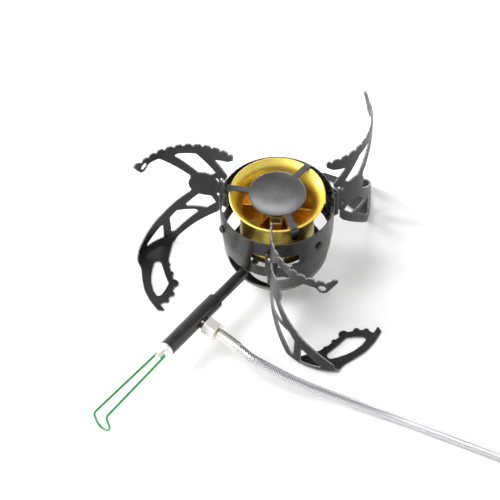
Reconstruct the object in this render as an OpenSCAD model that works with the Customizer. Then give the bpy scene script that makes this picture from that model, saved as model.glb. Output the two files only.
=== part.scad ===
// Remote canister stove with a windshield cup, a brass burner, three fold-out legs
// and a braided hose. The origin is on the ground, straight under the burner.

/* [Windshield cup] */
// Outside radius of the cup at its rim
cup_r = 36; // [35.5:0.1:36.5]
// Height of the cup's rim above the ground
cup_top = 70; // [68:0.5:71]
// Wall of the cup
cup_wall = 0.8; // [0.6:0.1:1]
// Height of the cup's underside
cup_bottom = 11.5; // [10:0.5:12]

/* [Burner] */
// Outside radius of the burner bell's neck
bell_neck_r = 23; // [22.5:0.1:23.2]
// Outside radius of the burner bell's flared mouth
bell_mouth_r = 30; // [29:0.1:30.2]
// Height of the bell's mouth
bell_top = 75.6; // [75:0.1:76]
// Radius of the flame spreader disc
spreader_r = 18; // [16:0.5:19]

/* [Legs] */
// Radius of the curved leg sheet, which is also the distance of a hinge from the burner axis
leg_r = 40; // [40:0.1:40.4]
// Thickness of the leg sheet
leg_t = 1.2; // [1:0.1:1.3]
// Height of the pot support teeth above the ground
pot_z = 90; // [88:0.5:92]
// Direction of the first leg's hinge, seen from above
hinge_angle = 144; // [143:0.5:145]
// Turn that lays a leg round the cup
fold_angle = 86.2; // [86:0.1:86.4]

/* [Fuel line and valve] */
// Direction of the fuel line, seen from above
valve_angle = 231.6; // [231:0.1:232]
// Height of the fuel line's axis
line_z = 32; // [31.5:0.1:32.2]
// Outside radius of the valve body
valve_r = 5.2; // [5:0.1:5.5]
// Distance of the valve body's inner end from the burner axis
valve_start = 61; // [58:0.5:64]
// Distance of the valve body's outer end from the burner axis
valve_end = 109.8; // [109:0.2:111]
// Distance of the hose port from the burner axis
port_at = 79.8; // [79:0.2:81]
// Dip of the hose port below the horizontal
port_dip = 8; // [7:0.5:9]

/* [Control key] */
// Radius of the key's wire
wire_r = 0.8; // [0.7:0.05:0.8]
// Length of the key's loop from its pivot to the turned-down end
key_length = 59; // [50:1:62]
// Width of the loop at its far end, between wire centres
key_width = 10.4; // [9:0.2:12]
// Length of the turned-down end
key_hook = 12; // [9:0.5:14]
// Roll of the loop about the spindle
key_roll = 20; // [15:1:25]

/* [Hose] */
// Radius of the braided hose
hose_r = 2.9; // [2.7:0.1:2.9]
// Radius of the coil at the middle of the hose
coil_r = 32; // [31:0.5:32]

/* [Hidden] */
eps = 0.01;
curve = 96;
thirds = [0, 120, 240];

// Cup
cup_waist = [cup_r - 0.9, 47];
cup_low = [cup_r - 2.6, 31];
cup_slope = atan((cup_waist[0] - cup_low[0]) / (cup_waist[1] - cup_low[1]));
cup_round = 36;
cup_arc = [cup_low[0] - cup_round * cos(cup_slope), cup_low[1] + cup_round * sin(cup_slope)];
cup_hole_r = 20;
rivet_angle = 197;
rivet_z = 55;
vent_z = [22, 36.3];
vents = [[205, 77], [338, 67], [98, 72]];
window_z = [49, 57.5];
window_start = 242;
window_sweep = 50.5;
window_step_z = 46;
window_step_sweep = 43;

// Burner
bell_wall = 0.8;
bell_flare_z = 62;
bell_foot_z = 38.2;
bell_flare_r = ((bell_mouth_r - bell_neck_r) ^ 2 + (bell_top - bell_flare_z) ^ 2)
    / (2 * (bell_mouth_r - bell_neck_r));
lip_r = 0.55;
support_z = 37;
support_t = bell_foot_z - support_z;
tab_t = 1;
tab_out = [[33.1, support_z], [34.2, 47], [34.7, 60.5]];
deck_z = 47;
deck_t = 1.2;
tube_r = 8;
vane_z = [50, 64];
strap_w = 4.2;
strap_t = 0.8;
strap_angles = [50, 170, 290];
strap_z = bell_top + lip_r + 0.05;
block_r = 6.5;
block_z = [26, support_z];
jet_r = 2.5;

// Hinges and legs
arc_start = hinge_angle - fold_angle;
hinge_x = leg_r * cos(hinge_angle);
hinge_y = leg_r * sin(hinge_angle);
arc_x = hinge_x - leg_r * cos(arc_start);
arc_y = hinge_y - leg_r * sin(arc_start);
arc_middle = 101.2;
pin_r = 1;
barrel_r = 2.2;
barrel_z = [40.3, 59.7];
knuckle_z = [barrel_z[0] + 0.15, barrel_z[1] - 0.15];
ear_t = 1.6;
ear_z = [barrel_z[0] - 0.3 - ear_t, barrel_z[1] + 0.3];
bracket_w = 8;
bracket_r = cup_r - 0.25;
bracket_rivet_z = [43.2, 57];
bracket_rivet_side = 2.8;
bend_z = 4.2;
bend_r = leg_r + leg_t / 2 - bend_z;
bend_angles = [103, 145];
tooth_pitch = 8.6;
tooth_first = 53.5;
tooth_count = 11;
tooth_depth = 1.7;
leg_b_slack = 3;

// Edge of the leg sheet: angle round the arc, then height
leg_edge = [[49.6, 90], [48.4, 88], [49, 84.8], [55, 81], [68.4, 78], [55, 66.9], [57, 63],
    [62.5, 62.8], [62.5, knuckle_z[1]], [arc_start, knuckle_z[1]], [arc_start, knuckle_z[0]],
    [62.5, knuckle_z[0]], [62.5, 32.6], [65.9, 28.5], [74.2, 22.6], [86.5, 14], [96.3, 6.8],
    [99.8, bend_z], [137.8, bend_z], [133.8, 9.4], [125.5, 18.4], [116, 27.2], [103, 37.3],
    [90, 45.3], [90.7, 59.8], [106.2, 71.8], [120, 82.5], [131, 82.6], [134.5, 79.2],
    [138.5, 79], [141.5, 80.4], [150.8, 90.6], [149.5, 92.6], [145.5, 92.6], [142.5, 90]];
// Windows cut through the leg sheet, each as its corners
leg_windows = [
    [[105, 80.6], [102, 82], [85, 81], [67, 66], [72, 62.6], [77.9, 63.6], [83.5, 62.8]],
    [[67.5, 61.3], [64.4, 60.6], [64, 57.2], [65.6, 56.3]],
    [[67.5, 45.6], [63.8, 48.4], [63.8, 43.6]],
    [[95.4, 32.2], [83.5, 42.4], [71.6, 42.4], [67.2, 37.4], [76.2, 30], [94, 30.2]],
    [[110.5, 21.9], [104, 27.1], [86.5, 27.1], [84.1, 25.3], [106.4, 6.9], [109.4, 7.6]],
    [[115.9, 14.8], [113.8, 4.9], [128.8, 4.9]]];
hub_angle = 77.9;
hub_z = 52.5;
hub_r = 10.3;
tip_hole = [136.8, 83.4];
tip_hole_r = 1.9;

// Foot outline about the centre of the leg's arc, running out past the bend
foot_edge = [[-12, 38], [-32, 30], [-34, 17], [-32.4, 12], [-31.5, 2.5], [-30.2, -5], [-26.8, -13.2],
    [-21.6, -21.3], [-17.6, -21.6], [-17.2, -20.6], [-20.2, -16.4], [-17, -14.5],
    [-14.6, -9.5], [-12.4, -3], [-13.6, 6], [-15.6, 13.5], [-15.6, 20], [-13.6, 28], [-12.4, 34.2]];
foot_bumps = [[-16.3, -13.3, 1.9], [-13.2, -8, 2.2], [-11.6, 0.5, 3.1], [-13.6, 8.3, 1.9],
    [-15.6, 15.6, 1.8]];
foot_hole = [[-24, 17.6], [-21.6, 18.4], [-19.6, 17], [-17, 6.5], [-14.9, 0.5], [-17, -4.8],
    [-19.8, -9.5], [-22.2, -9.6], [-24.4, -5.4], [-25.8, 1.2], [-26, 6.5], [-25.2, 12.6]];

// Fuel line and valve, by distance from the burner axis
line_r = 2.2;
line_bore_r = 1.2;
sleeve_r = 3.65;
sleeve_start = 33.5;
line_start = 3.5;
socket_end = 66;
passage_r = 1.2;
chamber_start = valve_end - 19.2;
chamber_r = 3.15;
gland_start = valve_end - 3.2;
gland_r = 4.2;
flange_r = 4.8;
flange_end = valve_end + 1.6;
running = 0.05;
spindle_r = 2.3;
spindle_end = valve_end + 9.3;
pivot_at = valve_end + 6;
cross_hole_r = wire_r + running;
neck_y = 2.4;
neck_bend_r = 1;
splay = atan((key_width / 2 - neck_y - neck_bend_r) / key_length);
hook_bend_r = 2;
key_leg = (key_length - hook_bend_r - neck_bend_r) / cos(splay);
hook_x = neck_bend_r * (1 - sin(splay)) + (key_leg + hook_bend_r) * cos(splay);
hook_y = neck_y + neck_bend_r * cos(splay) + (key_leg + hook_bend_r) * sin(splay);
hook_drop = key_hook - hook_bend_r - hook_y;
port_r = 3.5;
nut_flats = 11.2;
nut_start = 7.2;
nut_length = 8.6;
collar_length = 1.2;
ferrule_r = 3.6;
ferrule_start = nut_start + nut_length + collar_length;
ferrule_length = 16;
port_end = ferrule_start + ferrule_length;

// Hose route: it leaves the ferrule along the port's axis, comes down to the ground and
// runs to the coil
port_way = [-sin(valve_angle) * cos(port_dip), cos(valve_angle) * cos(port_dip), -sin(port_dip)];
port_root = [cos(valve_angle) * port_at, sin(valve_angle) * port_at, line_z];
hose_start = port_root + port_end * port_way;
hose_points = [[-17, -88.8, 26.1], [-10, -92.5, 24.2], [-3, -95.4, 21.8], [4, -98.1, 19.2],
    [11, -100.2, 16.7], [18, -102.2, 14.3], [25, -103.9, 12.1], [33, -105.9, 9.8],
    [41, -108.1, 7.9], [49, -110.6, 6.2], [58, -113.5, 4.7], [67, -116.7, 3.6],
    [76, -120.4, 3], [84, -124.1, 2.9], [100, -131.7, 2.9], [116, -139.3, 2.9],
    [132, -147, 2.9], [148, -154.6, 2.9]];
run_angle = -25.5;
coil_join = [163, -161.8];
coil_x = coil_join[0] - coil_r * sin(run_angle);
coil_y = coil_join[1] + coil_r * cos(run_angle);
hose_path = concat([hose_start, hose_start + 4 * port_way], hose_points,
    [[coil_join[0], coil_join[1], hose_r]]);
hose_sides = 10;
join_angle = run_angle - 90;
ramp_sweep = 90;
ramp_end = 35;
coil_turn = 90;
tail_z = 3 * hose_r;
tail_length = 21;
end_ferrule_length = 16;
grip_r = tail_z;
connector_r = 6.5;
connector_length = 22;
thread_r = 5.55;
thread_depth = 9;
thread_start = connector_length - thread_depth;
seal_r = 4.6;
seal_t = 1.4;

// A ring sector between two radii, from one direction through a sweep, between two heights
module sector(inner, outer, start, sweep, z) {
    rotate_extrude(angle = sweep, start = start, $fn = curve)
        translate([inner, z[0]])
            square([outer - inner, z[1] - z[0]]);
}

// Puts its children at a distance out along the fuel line, with local Z pointing outward
module along_line(distance = 0) {
    rotate([0, 0, valve_angle])
        translate([distance, 0, line_z])
            rotate([0, 90, 0])
                children();
}

// Puts its children on the axis of the hose port, with local Z pointing out of the valve
module along_port(distance = 0) {
    rotate([0, 0, valve_angle])
        translate([port_at, 0, line_z])
            rotate([-90 - port_dip, 0, 0])
                translate([0, 0, distance])
                    children();
}

// Puts its children at a direction round the burner, with local Z pointing outward
module facing_out(angle, distance, height) {
    rotate([0, 0, angle])
        translate([distance, 0, height])
            rotate([0, 90, 0])
                children();
}

// Half section of the filled cup: a wall that narrows downward, a round lower part and a
// flat floor
module bowl_section(shrink, top) {
    low = cup_arc + (cup_round - shrink) * [cos(cup_slope), -sin(cup_slope)];
    polygon([[0, low[1]], low, [cup_waist[0] - shrink, cup_waist[1]], [cup_r - shrink, top], [0, top]]);
    intersection() {
        translate(cup_arc)
            circle(cup_round - shrink);
        translate([0, cup_bottom + shrink])
            square([cup_r, low[1] - cup_bottom - shrink]);
    }
}

module windshield_cup() {
    color("#3b3b3d")
        difference() {
            rotate_extrude($fn = curve)
                difference() {
                    bowl_section(0, cup_top);
                    bowl_section(cup_wall, cup_top + eps);
                    square([cup_hole_r, cup_bottom + 2]);
                }
            for (vent = vents)
                sector(15, cup_r + 2, vent[0], vent[1], vent_z);
            for (turn = thirds) {
                sector(33, cup_r + 2, window_start + turn, window_sweep, window_z);
                sector(33, cup_r + 2, window_start + turn, window_step_sweep,
                    [window_step_z, window_z[0] + eps]);
                facing_out(rivet_angle + turn, 32, rivet_z)
                    cylinder(r = 1.5, h = 8, $fn = 32);
                for (side = [-1, 1], z = bracket_rivet_z)
                    rotate([0, 0, hinge_angle + turn])
                        translate([32, side * bracket_rivet_side, z])
                            rotate([0, 90, 0])
                                cylinder(r = 0.9, h = 8, $fn = 24);
            }
        }
}

// Domed rivets that hold the burner support to the cup
module cup_rivets() {
    head_r = 2.75;
    dome_r = 3.4;
    seat = 35.56;
    color("#2c2c2e")
        for (turn = thirds)
            facing_out(rivet_angle + turn, 0, rivet_z) {
                translate([0, 0, seat - 2.9])
                    cylinder(r = 1.4, h = 3.4, $fn = 32);
                translate([0, 0, seat - 3.2])
                    cylinder(r = 2.2, h = 1, $fn = 32);
                intersection() {
                    translate([0, 0, seat])
                        cylinder(r = head_r, h = 3, $fn = 48);
                    translate([0, 0, seat + 2.2 - dome_r])
                        sphere(r = dome_r, $fn = 48);
                }
            }
}

// Black steel plate under the burner, with three arms that turn up against the cup
module burner_support() {
    color("#29292b")
        difference() {
            union() {
                translate([0, 0, support_z])
                    cylinder(r = 24.5, h = support_t, $fn = curve);
                for (turn = thirds) {
                    sector(23, tab_out[0][0], rivet_angle - 5 + turn, 21, [support_z, bell_foot_z]);
                    rotate_extrude(angle = 10, start = rivet_angle - 5 + turn, $fn = curve)
                        polygon([for (i = [0:2]) tab_out[i], for (i = [2:-1:0]) tab_out[i] - [tab_t, 0]]);
                    rotate([90, 0, rivet_angle + 13 + turn])
                        linear_extrude(height = 1.2, center = true)
                            polygon([[26, bell_foot_z - eps], [32.9, bell_foot_z - eps], [32.9, 50],
                                [27.8, 60.6], [27.2, 60.6]]);
                }
            }
            translate([0, 0, support_z - 1])
                cylinder(r = jet_r + 0.1, h = 4, $fn = 32);
            for (i = [0:5])
                rotate([0, 0, 60 * i + 20])
                    translate([15, 0, support_z - 1])
                        cylinder(r = 4, h = 4, $fn = 32);
            for (turn = thirds)
                facing_out(rivet_angle + turn, 30, rivet_z)
                    cylinder(r = 1.5, h = 6, $fn = 32);
        }
}

// Half section of the burner bell's outside, drawn in by a wall
module bell_section(shrink, top) {
    difference() {
        square([bell_mouth_r + 2, top]);
        translate([bell_neck_r + bell_flare_r, bell_flare_z])
            circle(bell_flare_r + shrink);
        translate([bell_neck_r - shrink, -1])
            square([20, bell_flare_z + 1]);
    }
}

module burner_bell() {
    color("#c9a23a")
        difference() {
            rotate_extrude($fn = curve) {
                difference() {
                    bell_section(0, bell_top);
                    bell_section(bell_wall, bell_top + eps);
                    square([bell_neck_r, bell_foot_z]);
                }
                translate([bell_mouth_r - lip_r, bell_top])
                    circle(lip_r, $fn = 24);
            }
            translate([0, 0, -1])
                cylinder(r = bell_mouth_r, h = bell_foot_z + 1, $fn = curve);
            for (i = [0:11])
                facing_out(30 * i + 15, bell_neck_r - 3, 42.5)
                    cylinder(r = 1.7, h = 6, $fn = 24);
        }
}

// Brass deck inside the bell with the tube in which gas and air mix
module mixing_tube() {
    color("#a9842c")
        difference() {
            union() {
                translate([0, 0, deck_z])
                    cylinder(r = bell_neck_r - bell_wall - 0.1, h = deck_t, $fn = curve);
                translate([0, 0, deck_z - 3])
                    cylinder(r = tube_r, h = 14, $fn = 64);
            }
            translate([0, 0, deck_z - 4])
                cylinder(r = tube_r - 1, h = 16, $fn = 64);
        }
}

// Ring of thin upright vanes round the mixing tube
module vane_insert() {
    color("#b98f33") {
        sector(tube_r + 0.1, tube_r + 1, 0, 360, [vane_z[0] - 0.4, vane_z[1] - 0.4]);
        for (i = [0:5])
            rotate([0, 0, 60 * i + 53])
                translate([tube_r + 0.5, -0.3, vane_z[0]])
                    cube([13, 0.6, vane_z[1] - vane_z[0]]);
    }
}

// Brass block that stands in the flame
module heat_block() {
    color("#d9b64a")
        rotate([0, 0, 266])
            translate([10, -3.5, deck_z + deck_t])
                difference() {
                    cube([5, 7, 17.5]);
                    translate([3.6, -1, 11])
                        cube([3, 9, 1.2]);
                }
}

// Dished steel disc over the burner, with three straps that hook over the bell's lip
module flame_spreader() {
    strap_end = bell_mouth_r + 1.5;
    color("#8d8e92") {
        rotate_extrude($fn = curve)
            translate([0, strap_z])
                polygon([[0, -1.9], [6, -1.8], [11, -1.4], [15, -0.7], [spreader_r - 0.6, -0.1],
                    [spreader_r, 0], [spreader_r, strap_t], [spreader_r - 0.8, strap_t], [15, 0.1],
                    [11, -0.6], [6, -1], [0, -1.1]]);
        for (angle = strap_angles)
            rotate([0, 0, angle]) {
                translate([spreader_r - 0.7, -strap_w / 2, strap_z])
                    cube([strap_end - spreader_r + 0.7, strap_w, strap_t]);
                translate([strap_end - strap_t, -strap_w / 2, strap_z - 6.5])
                    cube([strap_t, strap_w, 7]);
                translate([strap_end - strap_t, 0, strap_z - 6.5])
                    rotate([0, 90, 0])
                        cylinder(r = 2.5, h = strap_t, $fn = 32);
            }
    }
}

module jet_block() {
    color("#a9842c")
        difference() {
            translate([0, 0, block_z[0]])
                cylinder(r = block_r, h = block_z[1] - block_z[0], $fn = 64);
            translate([0, 0, line_z - 1.5])
                cylinder(r = jet_r + running, h = 10, $fn = 48);
            along_line(2)
                cylinder(r = line_r + running, h = 8, $fn = 48);
        }
}

// Threaded jet, screwed down through the support plate
module jet_nozzle() {
    color("#d0ad4c")
        difference() {
            union() {
                translate([0, 0, line_z + 2.6])
                    cylinder(r = jet_r, h = 6, $fn = 48);
                translate([0, 0, bell_foot_z])
                    cylinder(r = 4, h = 2.6, $fn = 6);
                translate([0, 0, bell_foot_z + 2.6])
                    cylinder(r = 1.6, h = 1.6, $fn = 32);
            }
            translate([0, 0, line_z])
                cylinder(r = 0.5, h = 12, $fn = 24);
        }
}

// U-shaped bracket on the cup wall, with an ear above and below the leg's barrel
module hinge_bracket() {
    ear_shape = [ear_z[0], ear_z[1]];
    color("#262628")
        rotate([0, 0, hinge_angle])
            difference() {
                union() {
                    translate([bracket_r, -bracket_w / 2, ear_z[0]])
                        cube([1, bracket_w, ear_z[1] + ear_t - ear_z[0]]);
                    for (z = ear_shape) {
                        translate([bracket_r, -barrel_r, z])
                            cube([leg_r - bracket_r, 2 * barrel_r, ear_t]);
                        translate([leg_r, 0, z])
                            cylinder(r = barrel_r, h = ear_t, $fn = 48);
                    }
                }
                translate([leg_r, 0, ear_z[0] - 1])
                    cylinder(r = pin_r + 0.03, h = 30, $fn = 48);
                for (side = [-1, 1], z = bracket_rivet_z)
                    translate([bracket_r - 1, side * bracket_rivet_side, z])
                        rotate([0, 90, 0])
                            cylinder(r = 0.9, h = 3, $fn = 24);
            }
}

// Small rivets that hold the brackets to the cup
module bracket_rivets() {
    color("#1f1f21")
        for (turn = thirds, side = [-1, 1], z = bracket_rivet_z)
            rotate([0, 0, hinge_angle + turn])
                translate([0, side * bracket_rivet_side, z])
                    rotate([0, 90, 0]) {
                        translate([0, 0, bracket_r - 2.6])
                            cylinder(r = 0.8, h = 3.8, $fn = 24);
                        translate([0, 0, bracket_r - 2.95])
                            cylinder(r = 1.3, h = 0.65, $fn = 24);
                        translate([0, 0, bracket_r + 1])
                            cylinder(r = 1.2, h = 0.5, $fn = 24);
                    }
}

// Headed pin through the bracket's ears and the leg's barrel
module hinge_pin() {
    color("#77787c")
        translate([hinge_x, hinge_y, 0]) {
            translate([0, 0, ear_z[0] - 0.5])
                cylinder(r = pin_r, h = ear_z[1] + ear_t - ear_z[0] + 1, $fn = 48);
            for (z = [ear_z[0] - 0.7, ear_z[1] + ear_t])
                translate([0, 0, z])
                    cylinder(r = 1.7, h = 0.7, $fn = 32);
        }
}

// A point of the leg sheet, given round the arc and up, seen square on from its middle
function flat(p) = [leg_r * sin(p[0] - arc_middle), p[1]];

// The leg sheet laid out square on, with its windows and teeth
module leg_outline() {
    difference() {
        union() {
            polygon([for (p = leg_edge) flat(p)]);
            translate(flat([hub_angle, hub_z]))
                circle(hub_r, $fn = 64);
        }
        for (window = leg_windows)
            difference() {
                polygon([for (p = window) flat(p)]);
                translate(flat([hub_angle, hub_z]))
                    circle(hub_r, $fn = 64);
            }
        translate(flat(tip_hole))
            circle(tip_hole_r, $fn = 32);
        for (i = [0:tooth_count - 1])
            translate(flat([tooth_first + tooth_pitch * i, pot_z]))
                polygon([[-1.3, eps], [-0.6, -tooth_depth], [0.6, -tooth_depth], [1.3, eps]]);
    }
}

// Flat foot turned in from the bottom of the leg sheet
module leg_foot() {
    linear_extrude(height = leg_t)
        difference() {
            union() {
                intersection() {
                    circle(bend_r, $fn = curve);
                    polygon(foot_edge);
                }
                for (bump = foot_bumps)
                    translate([bump[0], bump[1]])
                        circle(bump[2], $fn = 24);
            }
            polygon(foot_hole);
        }
}

// Swings a leg about its hinge, a little further open than the others
module swung_back(angle) {
    translate([hinge_x, hinge_y, 0])
        rotate([0, 0, -angle])
            translate([-hinge_x, -hinge_y, 0])
                children();
}

// One leg: a rolled sheet with a toothed pot support, a folded foot and a hinge barrel
module leg() {
    color("#454547")
        difference() {
            union() {
                translate([arc_x, arc_y, 0]) {
                    intersection() {
                        difference() {
                            cylinder(r = leg_r + leg_t / 2, h = 100, $fn = curve);
                            translate([0, 0, -1])
                                cylinder(r = leg_r - leg_t / 2, h = 102, $fn = curve);
                        }
                        rotate([90, 0, arc_middle + 90])
                            linear_extrude(height = leg_r + 5)
                                leg_outline();
                    }
                    rotate_extrude(angle = bend_angles[1] - bend_angles[0],
                        start = bend_angles[0], $fn = curve)
                        intersection() {
                            difference() {
                                translate([bend_r, bend_z])
                                    circle(bend_z);
                                translate([bend_r, bend_z])
                                    circle(bend_z - leg_t);
                            }
                            translate([bend_r, 0])
                                square([bend_z, bend_z]);
                        }
                    leg_foot();
                }
                translate([hinge_x, hinge_y, barrel_z[0]])
                    cylinder(r = barrel_r, h = barrel_z[1] - barrel_z[0], $fn = 48);
            }
            translate([hinge_x, hinge_y, barrel_z[0] - 1])
                cylinder(r = pin_r + running, h = barrel_z[1] - barrel_z[0] + 2, $fn = 48);
        }
}

// Thin steel line that carries fuel from the valve to the jet
module fuel_line() {
    color("#8b8b8e")
        along_line(line_start)
            difference() {
                cylinder(r = line_r, h = socket_end - line_start, $fn = 48);
                translate([0, 0, -1])
                    cylinder(r = line_bore_r, h = socket_end, $fn = 32);
            }
}

// Black tube that stiffens the fuel line outside the cup
module line_sleeve() {
    color("#3a3a3c")
        along_line(sleeve_start)
            difference() {
                cylinder(r = sleeve_r, h = valve_start - sleeve_start, $fn = 64);
                translate([0, 0, -1])
                    cylinder(r = line_r + running, h = 40, $fn = 48);
            }
}

module valve_body() {
    length = valve_end - valve_start;
    color("#2e2e30")
        difference() {
            along_line(valve_start)
                rotate_extrude($fn = 64)
                    polygon([[0, 0], [valve_r - 1.1, 0], [valve_r, 1.1], [valve_r, length], [0, length]]);
            along_line(valve_start - 1)
                cylinder(r = line_r + running, h = socket_end - valve_start + 1, $fn = 48);
            along_line(valve_start)
                cylinder(r = passage_r, h = length - 5, $fn = 32);
            along_line(chamber_start)
                cylinder(r = chamber_r, h = 30, $fn = 48);
            along_line(gland_start)
                cylinder(r = gland_r, h = 10, $fn = 48);
            along_port(0)
                cylinder(r = 2.5, h = 10, $fn = 48);
        }
}

// Threaded nipple in the side of the valve, which the hose nut screws on to
module hose_port() {
    color("#39393b")
        difference() {
            union() {
                along_port(2)
                    cylinder(r = 2.45, h = 4, $fn = 48);
                along_port(5.3)
                    cylinder(r = port_r, h = 7.5, $fn = 48);
            }
            along_port(0)
                cylinder(r = passage_r, h = 20, $fn = 32);
        }
}

module spindle_seal() {
    color("#141414")
        along_line(gland_start - 0.7)
            rotate_extrude($fn = 48)
                translate([(spindle_r + chamber_r) / 2 + 0.02, 0])
                    circle(0.36, $fn = 24);
}

// Turning spindle: needle, threaded collar and stem with a cross hole for the key
module valve_spindle() {
    color("#c9c9cc")
        difference() {
            along_line(chamber_start - 3)
                rotate_extrude($fn = 64)
                    polygon([[0, 0], [0.9, 2], [0.9, 4], [1.6, 4], [1.6, 8],
                        [chamber_r - running, 8], [chamber_r - running, 17.6], [spindle_r, 17.6],
                        [spindle_r, spindle_end - chamber_start + 2.5],
                        [spindle_r - 0.5, spindle_end - chamber_start + 3],
                        [0, spindle_end - chamber_start + 3]]);
            key_frame()
                rotate([90, 0, 0])
                    cylinder(r = cross_hole_r, h = 10, center = true, $fn = 32);
        }
}

module gland_ring() {
    color("#d9d8d4")
        along_line(gland_start)
            difference() {
                union() {
                    cylinder(r = gland_r - 0.02, h = valve_end - gland_start, $fn = 64);
                    translate([0, 0, valve_end - gland_start])
                        cylinder(r = flange_r, h = flange_end - valve_end, $fn = 64);
                }
                translate([0, 0, -1])
                    cylinder(r = spindle_r + running, h = 10, $fn = 48);
            }
}

// Frame of the key: X along the spindle outward, Y across the loop, Z up out of the loop
module key_frame() {
    rotate([0, 0, valve_angle])
        translate([pivot_at, 0, line_z])
            rotate([key_roll, 0, 0])
                children();
}

// A quarter turn, or less, of the key's wire about its local Z
module wire_bend(radius, angle, start) {
    rotate_extrude(angle = angle, start = start, $fn = 64)
        translate([radius, 0])
            circle(wire_r, $fn = 32);
}

// Slight swelling where a bend of the key's wire begins or ends
module wire_joint() {
    sphere(r = wire_r + 0.03, $fn = 32);
}

// One side of the key: pivot end, neck bend, long leg and turned-down end
module key_side() {
    translate([0, 0.4, 0])
        rotate([-90, 0, 0])
            cylinder(r = wire_r, h = neck_y - 0.4, $fn = 32);
    translate([0, neck_y, 0])
        wire_joint();
    translate([neck_bend_r, neck_y, 0])
        wire_bend(neck_bend_r, 90 - splay, 90 + splay);
    translate([neck_bend_r * (1 - sin(splay)), neck_y + neck_bend_r * cos(splay), 0])
        rotate([0, 0, splay]) {
            wire_joint();
            rotate([0, 90, 0])
                cylinder(r = wire_r, h = key_leg, $fn = 32);
            translate([key_leg, 0, 0])
                wire_joint();
            translate([key_leg, 0, -hook_bend_r])
                rotate([90, 0, 0])
                    wire_bend(hook_bend_r, 90, 0);
            translate([key_leg + hook_bend_r, 0, -hook_bend_r])
                wire_joint();
            translate([key_leg + hook_bend_r, 0, -hook_bend_r - hook_drop])
                cylinder(r = wire_r, h = hook_drop, $fn = 32);
            translate([key_leg + hook_bend_r, 0, -hook_bend_r - hook_drop])
                wire_joint();
        }
}

// Green wire key whose ends sit in the spindle's cross hole
module control_key() {
    color("#3fae57")
        key_frame() {
            key_side();
            mirror([0, 1, 0])
                key_side();
            translate([hook_x, 0, -hook_bend_r - hook_drop])
                rotate([90, 0, 90])
                    wire_bend(hook_y, 180, 180);
        }
}

module hose_nut() {
    color("#d8d6d2")
        along_port(nut_start)
            difference() {
                intersection() {
                    cylinder(r = nut_flats / sqrt(3), h = nut_length, $fn = 6);
                    cylinder(r1 = 5.8, r2 = 12.2, h = 8.6, $fn = 64);
                    cylinder(r1 = 12.2, r2 = 5.8, h = 8.65, $fn = 64);
                }
                translate([0, 0, -1])
                    cylinder(r = port_r + running, h = 7.4, $fn = 48);
                translate([0, 0, -1])
                    cylinder(r = 2.4, h = 12, $fn = 48);
            }
}

// Collar between the nut and the hose ferrule
module nut_collar() {
    color("#b9a184")
        along_port(nut_start + 6.42)
            difference() {
                union() {
                    cylinder(r = 2.35, h = nut_length - 6.4, $fn = 48);
                    translate([0, 0, nut_length - 6.42])
                        cylinder(r = 3.1, h = collar_length, $fn = 48);
                }
                translate([0, 0, -1])
                    cylinder(r = passage_r, h = 6, $fn = 32);
            }
}

// Crimped sleeve at the start of the hose
module hose_ferrule() {
    color("#cfc6b8")
        along_port(ferrule_start)
            difference() {
                rotate_extrude($fn = 48)
                    polygon([[0, 0], [ferrule_r - 0.3, 0], [ferrule_r, 0.3],
                        [ferrule_r, ferrule_length - 0.4], [ferrule_r - 0.4, ferrule_length],
                        [0, ferrule_length]]);
                translate([0, 0, -1])
                    cylinder(r = passage_r, h = ferrule_length, $fn = 32);
            }
}

// Direction of the path at one of its points
function heading(path, i) =
    let (ahead = path[min(i + 1, len(path) - 1)], behind = path[max(i - 1, 0)])
    (ahead - behind) / norm(ahead - behind);

// Ring of points round one point of the path
function ring(path, i, r, sides) =
    let (along = heading(path, i),
        across = cross(along, [0, 0, 1]) / norm(cross(along, [0, 0, 1])),
        up = cross(across, along))
    [for (k = [0:sides - 1])
        path[i] + r * (across * cos(360 * k / sides) + up * sin(360 * k / sides))];

// Closed tube swept along a path
module swept_tube(path, r, sides) {
    last = len(path) - 1;
    polyhedron(
        points = [for (i = [0:last]) each ring(path, i, r, sides)],
        faces = concat(
            [[for (k = [0:sides - 1]) sides - 1 - k]],
            [for (i = [0:last - 1], k = [0:sides - 1])
                let (next = (k + 1) % sides)
                [i * sides + k, i * sides + next, (i + 1) * sides + next, (i + 1) * sides + k]],
            [[for (k = [0:sides - 1]) last * sides + k]]));
}

module hose_run() {
    color("#a9abb0")
        swept_tube(hose_path, hose_r, hose_sides);
}

// Outer shape of the coiled part of the hose: a first turn on the ground, and the part of
// a second turn that climbs over its start and leaves on top
module hose_coil() {
    inner = coil_r - hose_r;
    outer = coil_r + hose_r;
    color("#a9abb0")
        translate([coil_x, coil_y, 0]) {
            sector(inner, outer, join_angle, 360 - ramp_end, [0, 2 * hose_r]);
            sector(inner, outer, join_angle - ramp_sweep, ramp_sweep + coil_turn,
                [2 * hose_r, 4 * hose_r]);
        }
}

// Puts its children where the hose leaves the coil, with local Z along the hose
module along_tail(distance = 0) {
    leave = join_angle + coil_turn;
    translate([coil_x + coil_r * cos(leave), coil_y + coil_r * sin(leave), tail_z])
        rotate([0, 90, leave + 90])
            translate([0, 0, distance])
                children();
}

module hose_tail() {
    color("#a9abb0")
        along_tail()
            cylinder(r = hose_r, h = tail_length, $fn = 32);
}

// Strap round the two turns of the coil
module coil_tie() {
    width = 2 * hose_r + 0.4;
    height = 4 * hose_r + 0.1;
    color("#262626")
        translate([coil_x, coil_y, 0])
            rotate([90, 0, join_angle + coil_turn / 2])
                translate([coil_r - width / 2 - 0.1, 0, -3])
                    linear_extrude(height = 6)
                        difference() {
                            translate([-0.9, 0])
                                square([width + 1.8, height + 0.9]);
                            translate([0, -eps])
                                square([width, height + eps]);
                        }
}

module end_ferrule() {
    color("#cfc6b8")
        along_tail(tail_length)
            difference() {
                cylinder(r = ferrule_r, h = end_ferrule_length, $fn = 48);
                translate([0, 0, 1])
                    cylinder(r = passage_r, h = end_ferrule_length, $fn = 32);
            }
}

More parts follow.
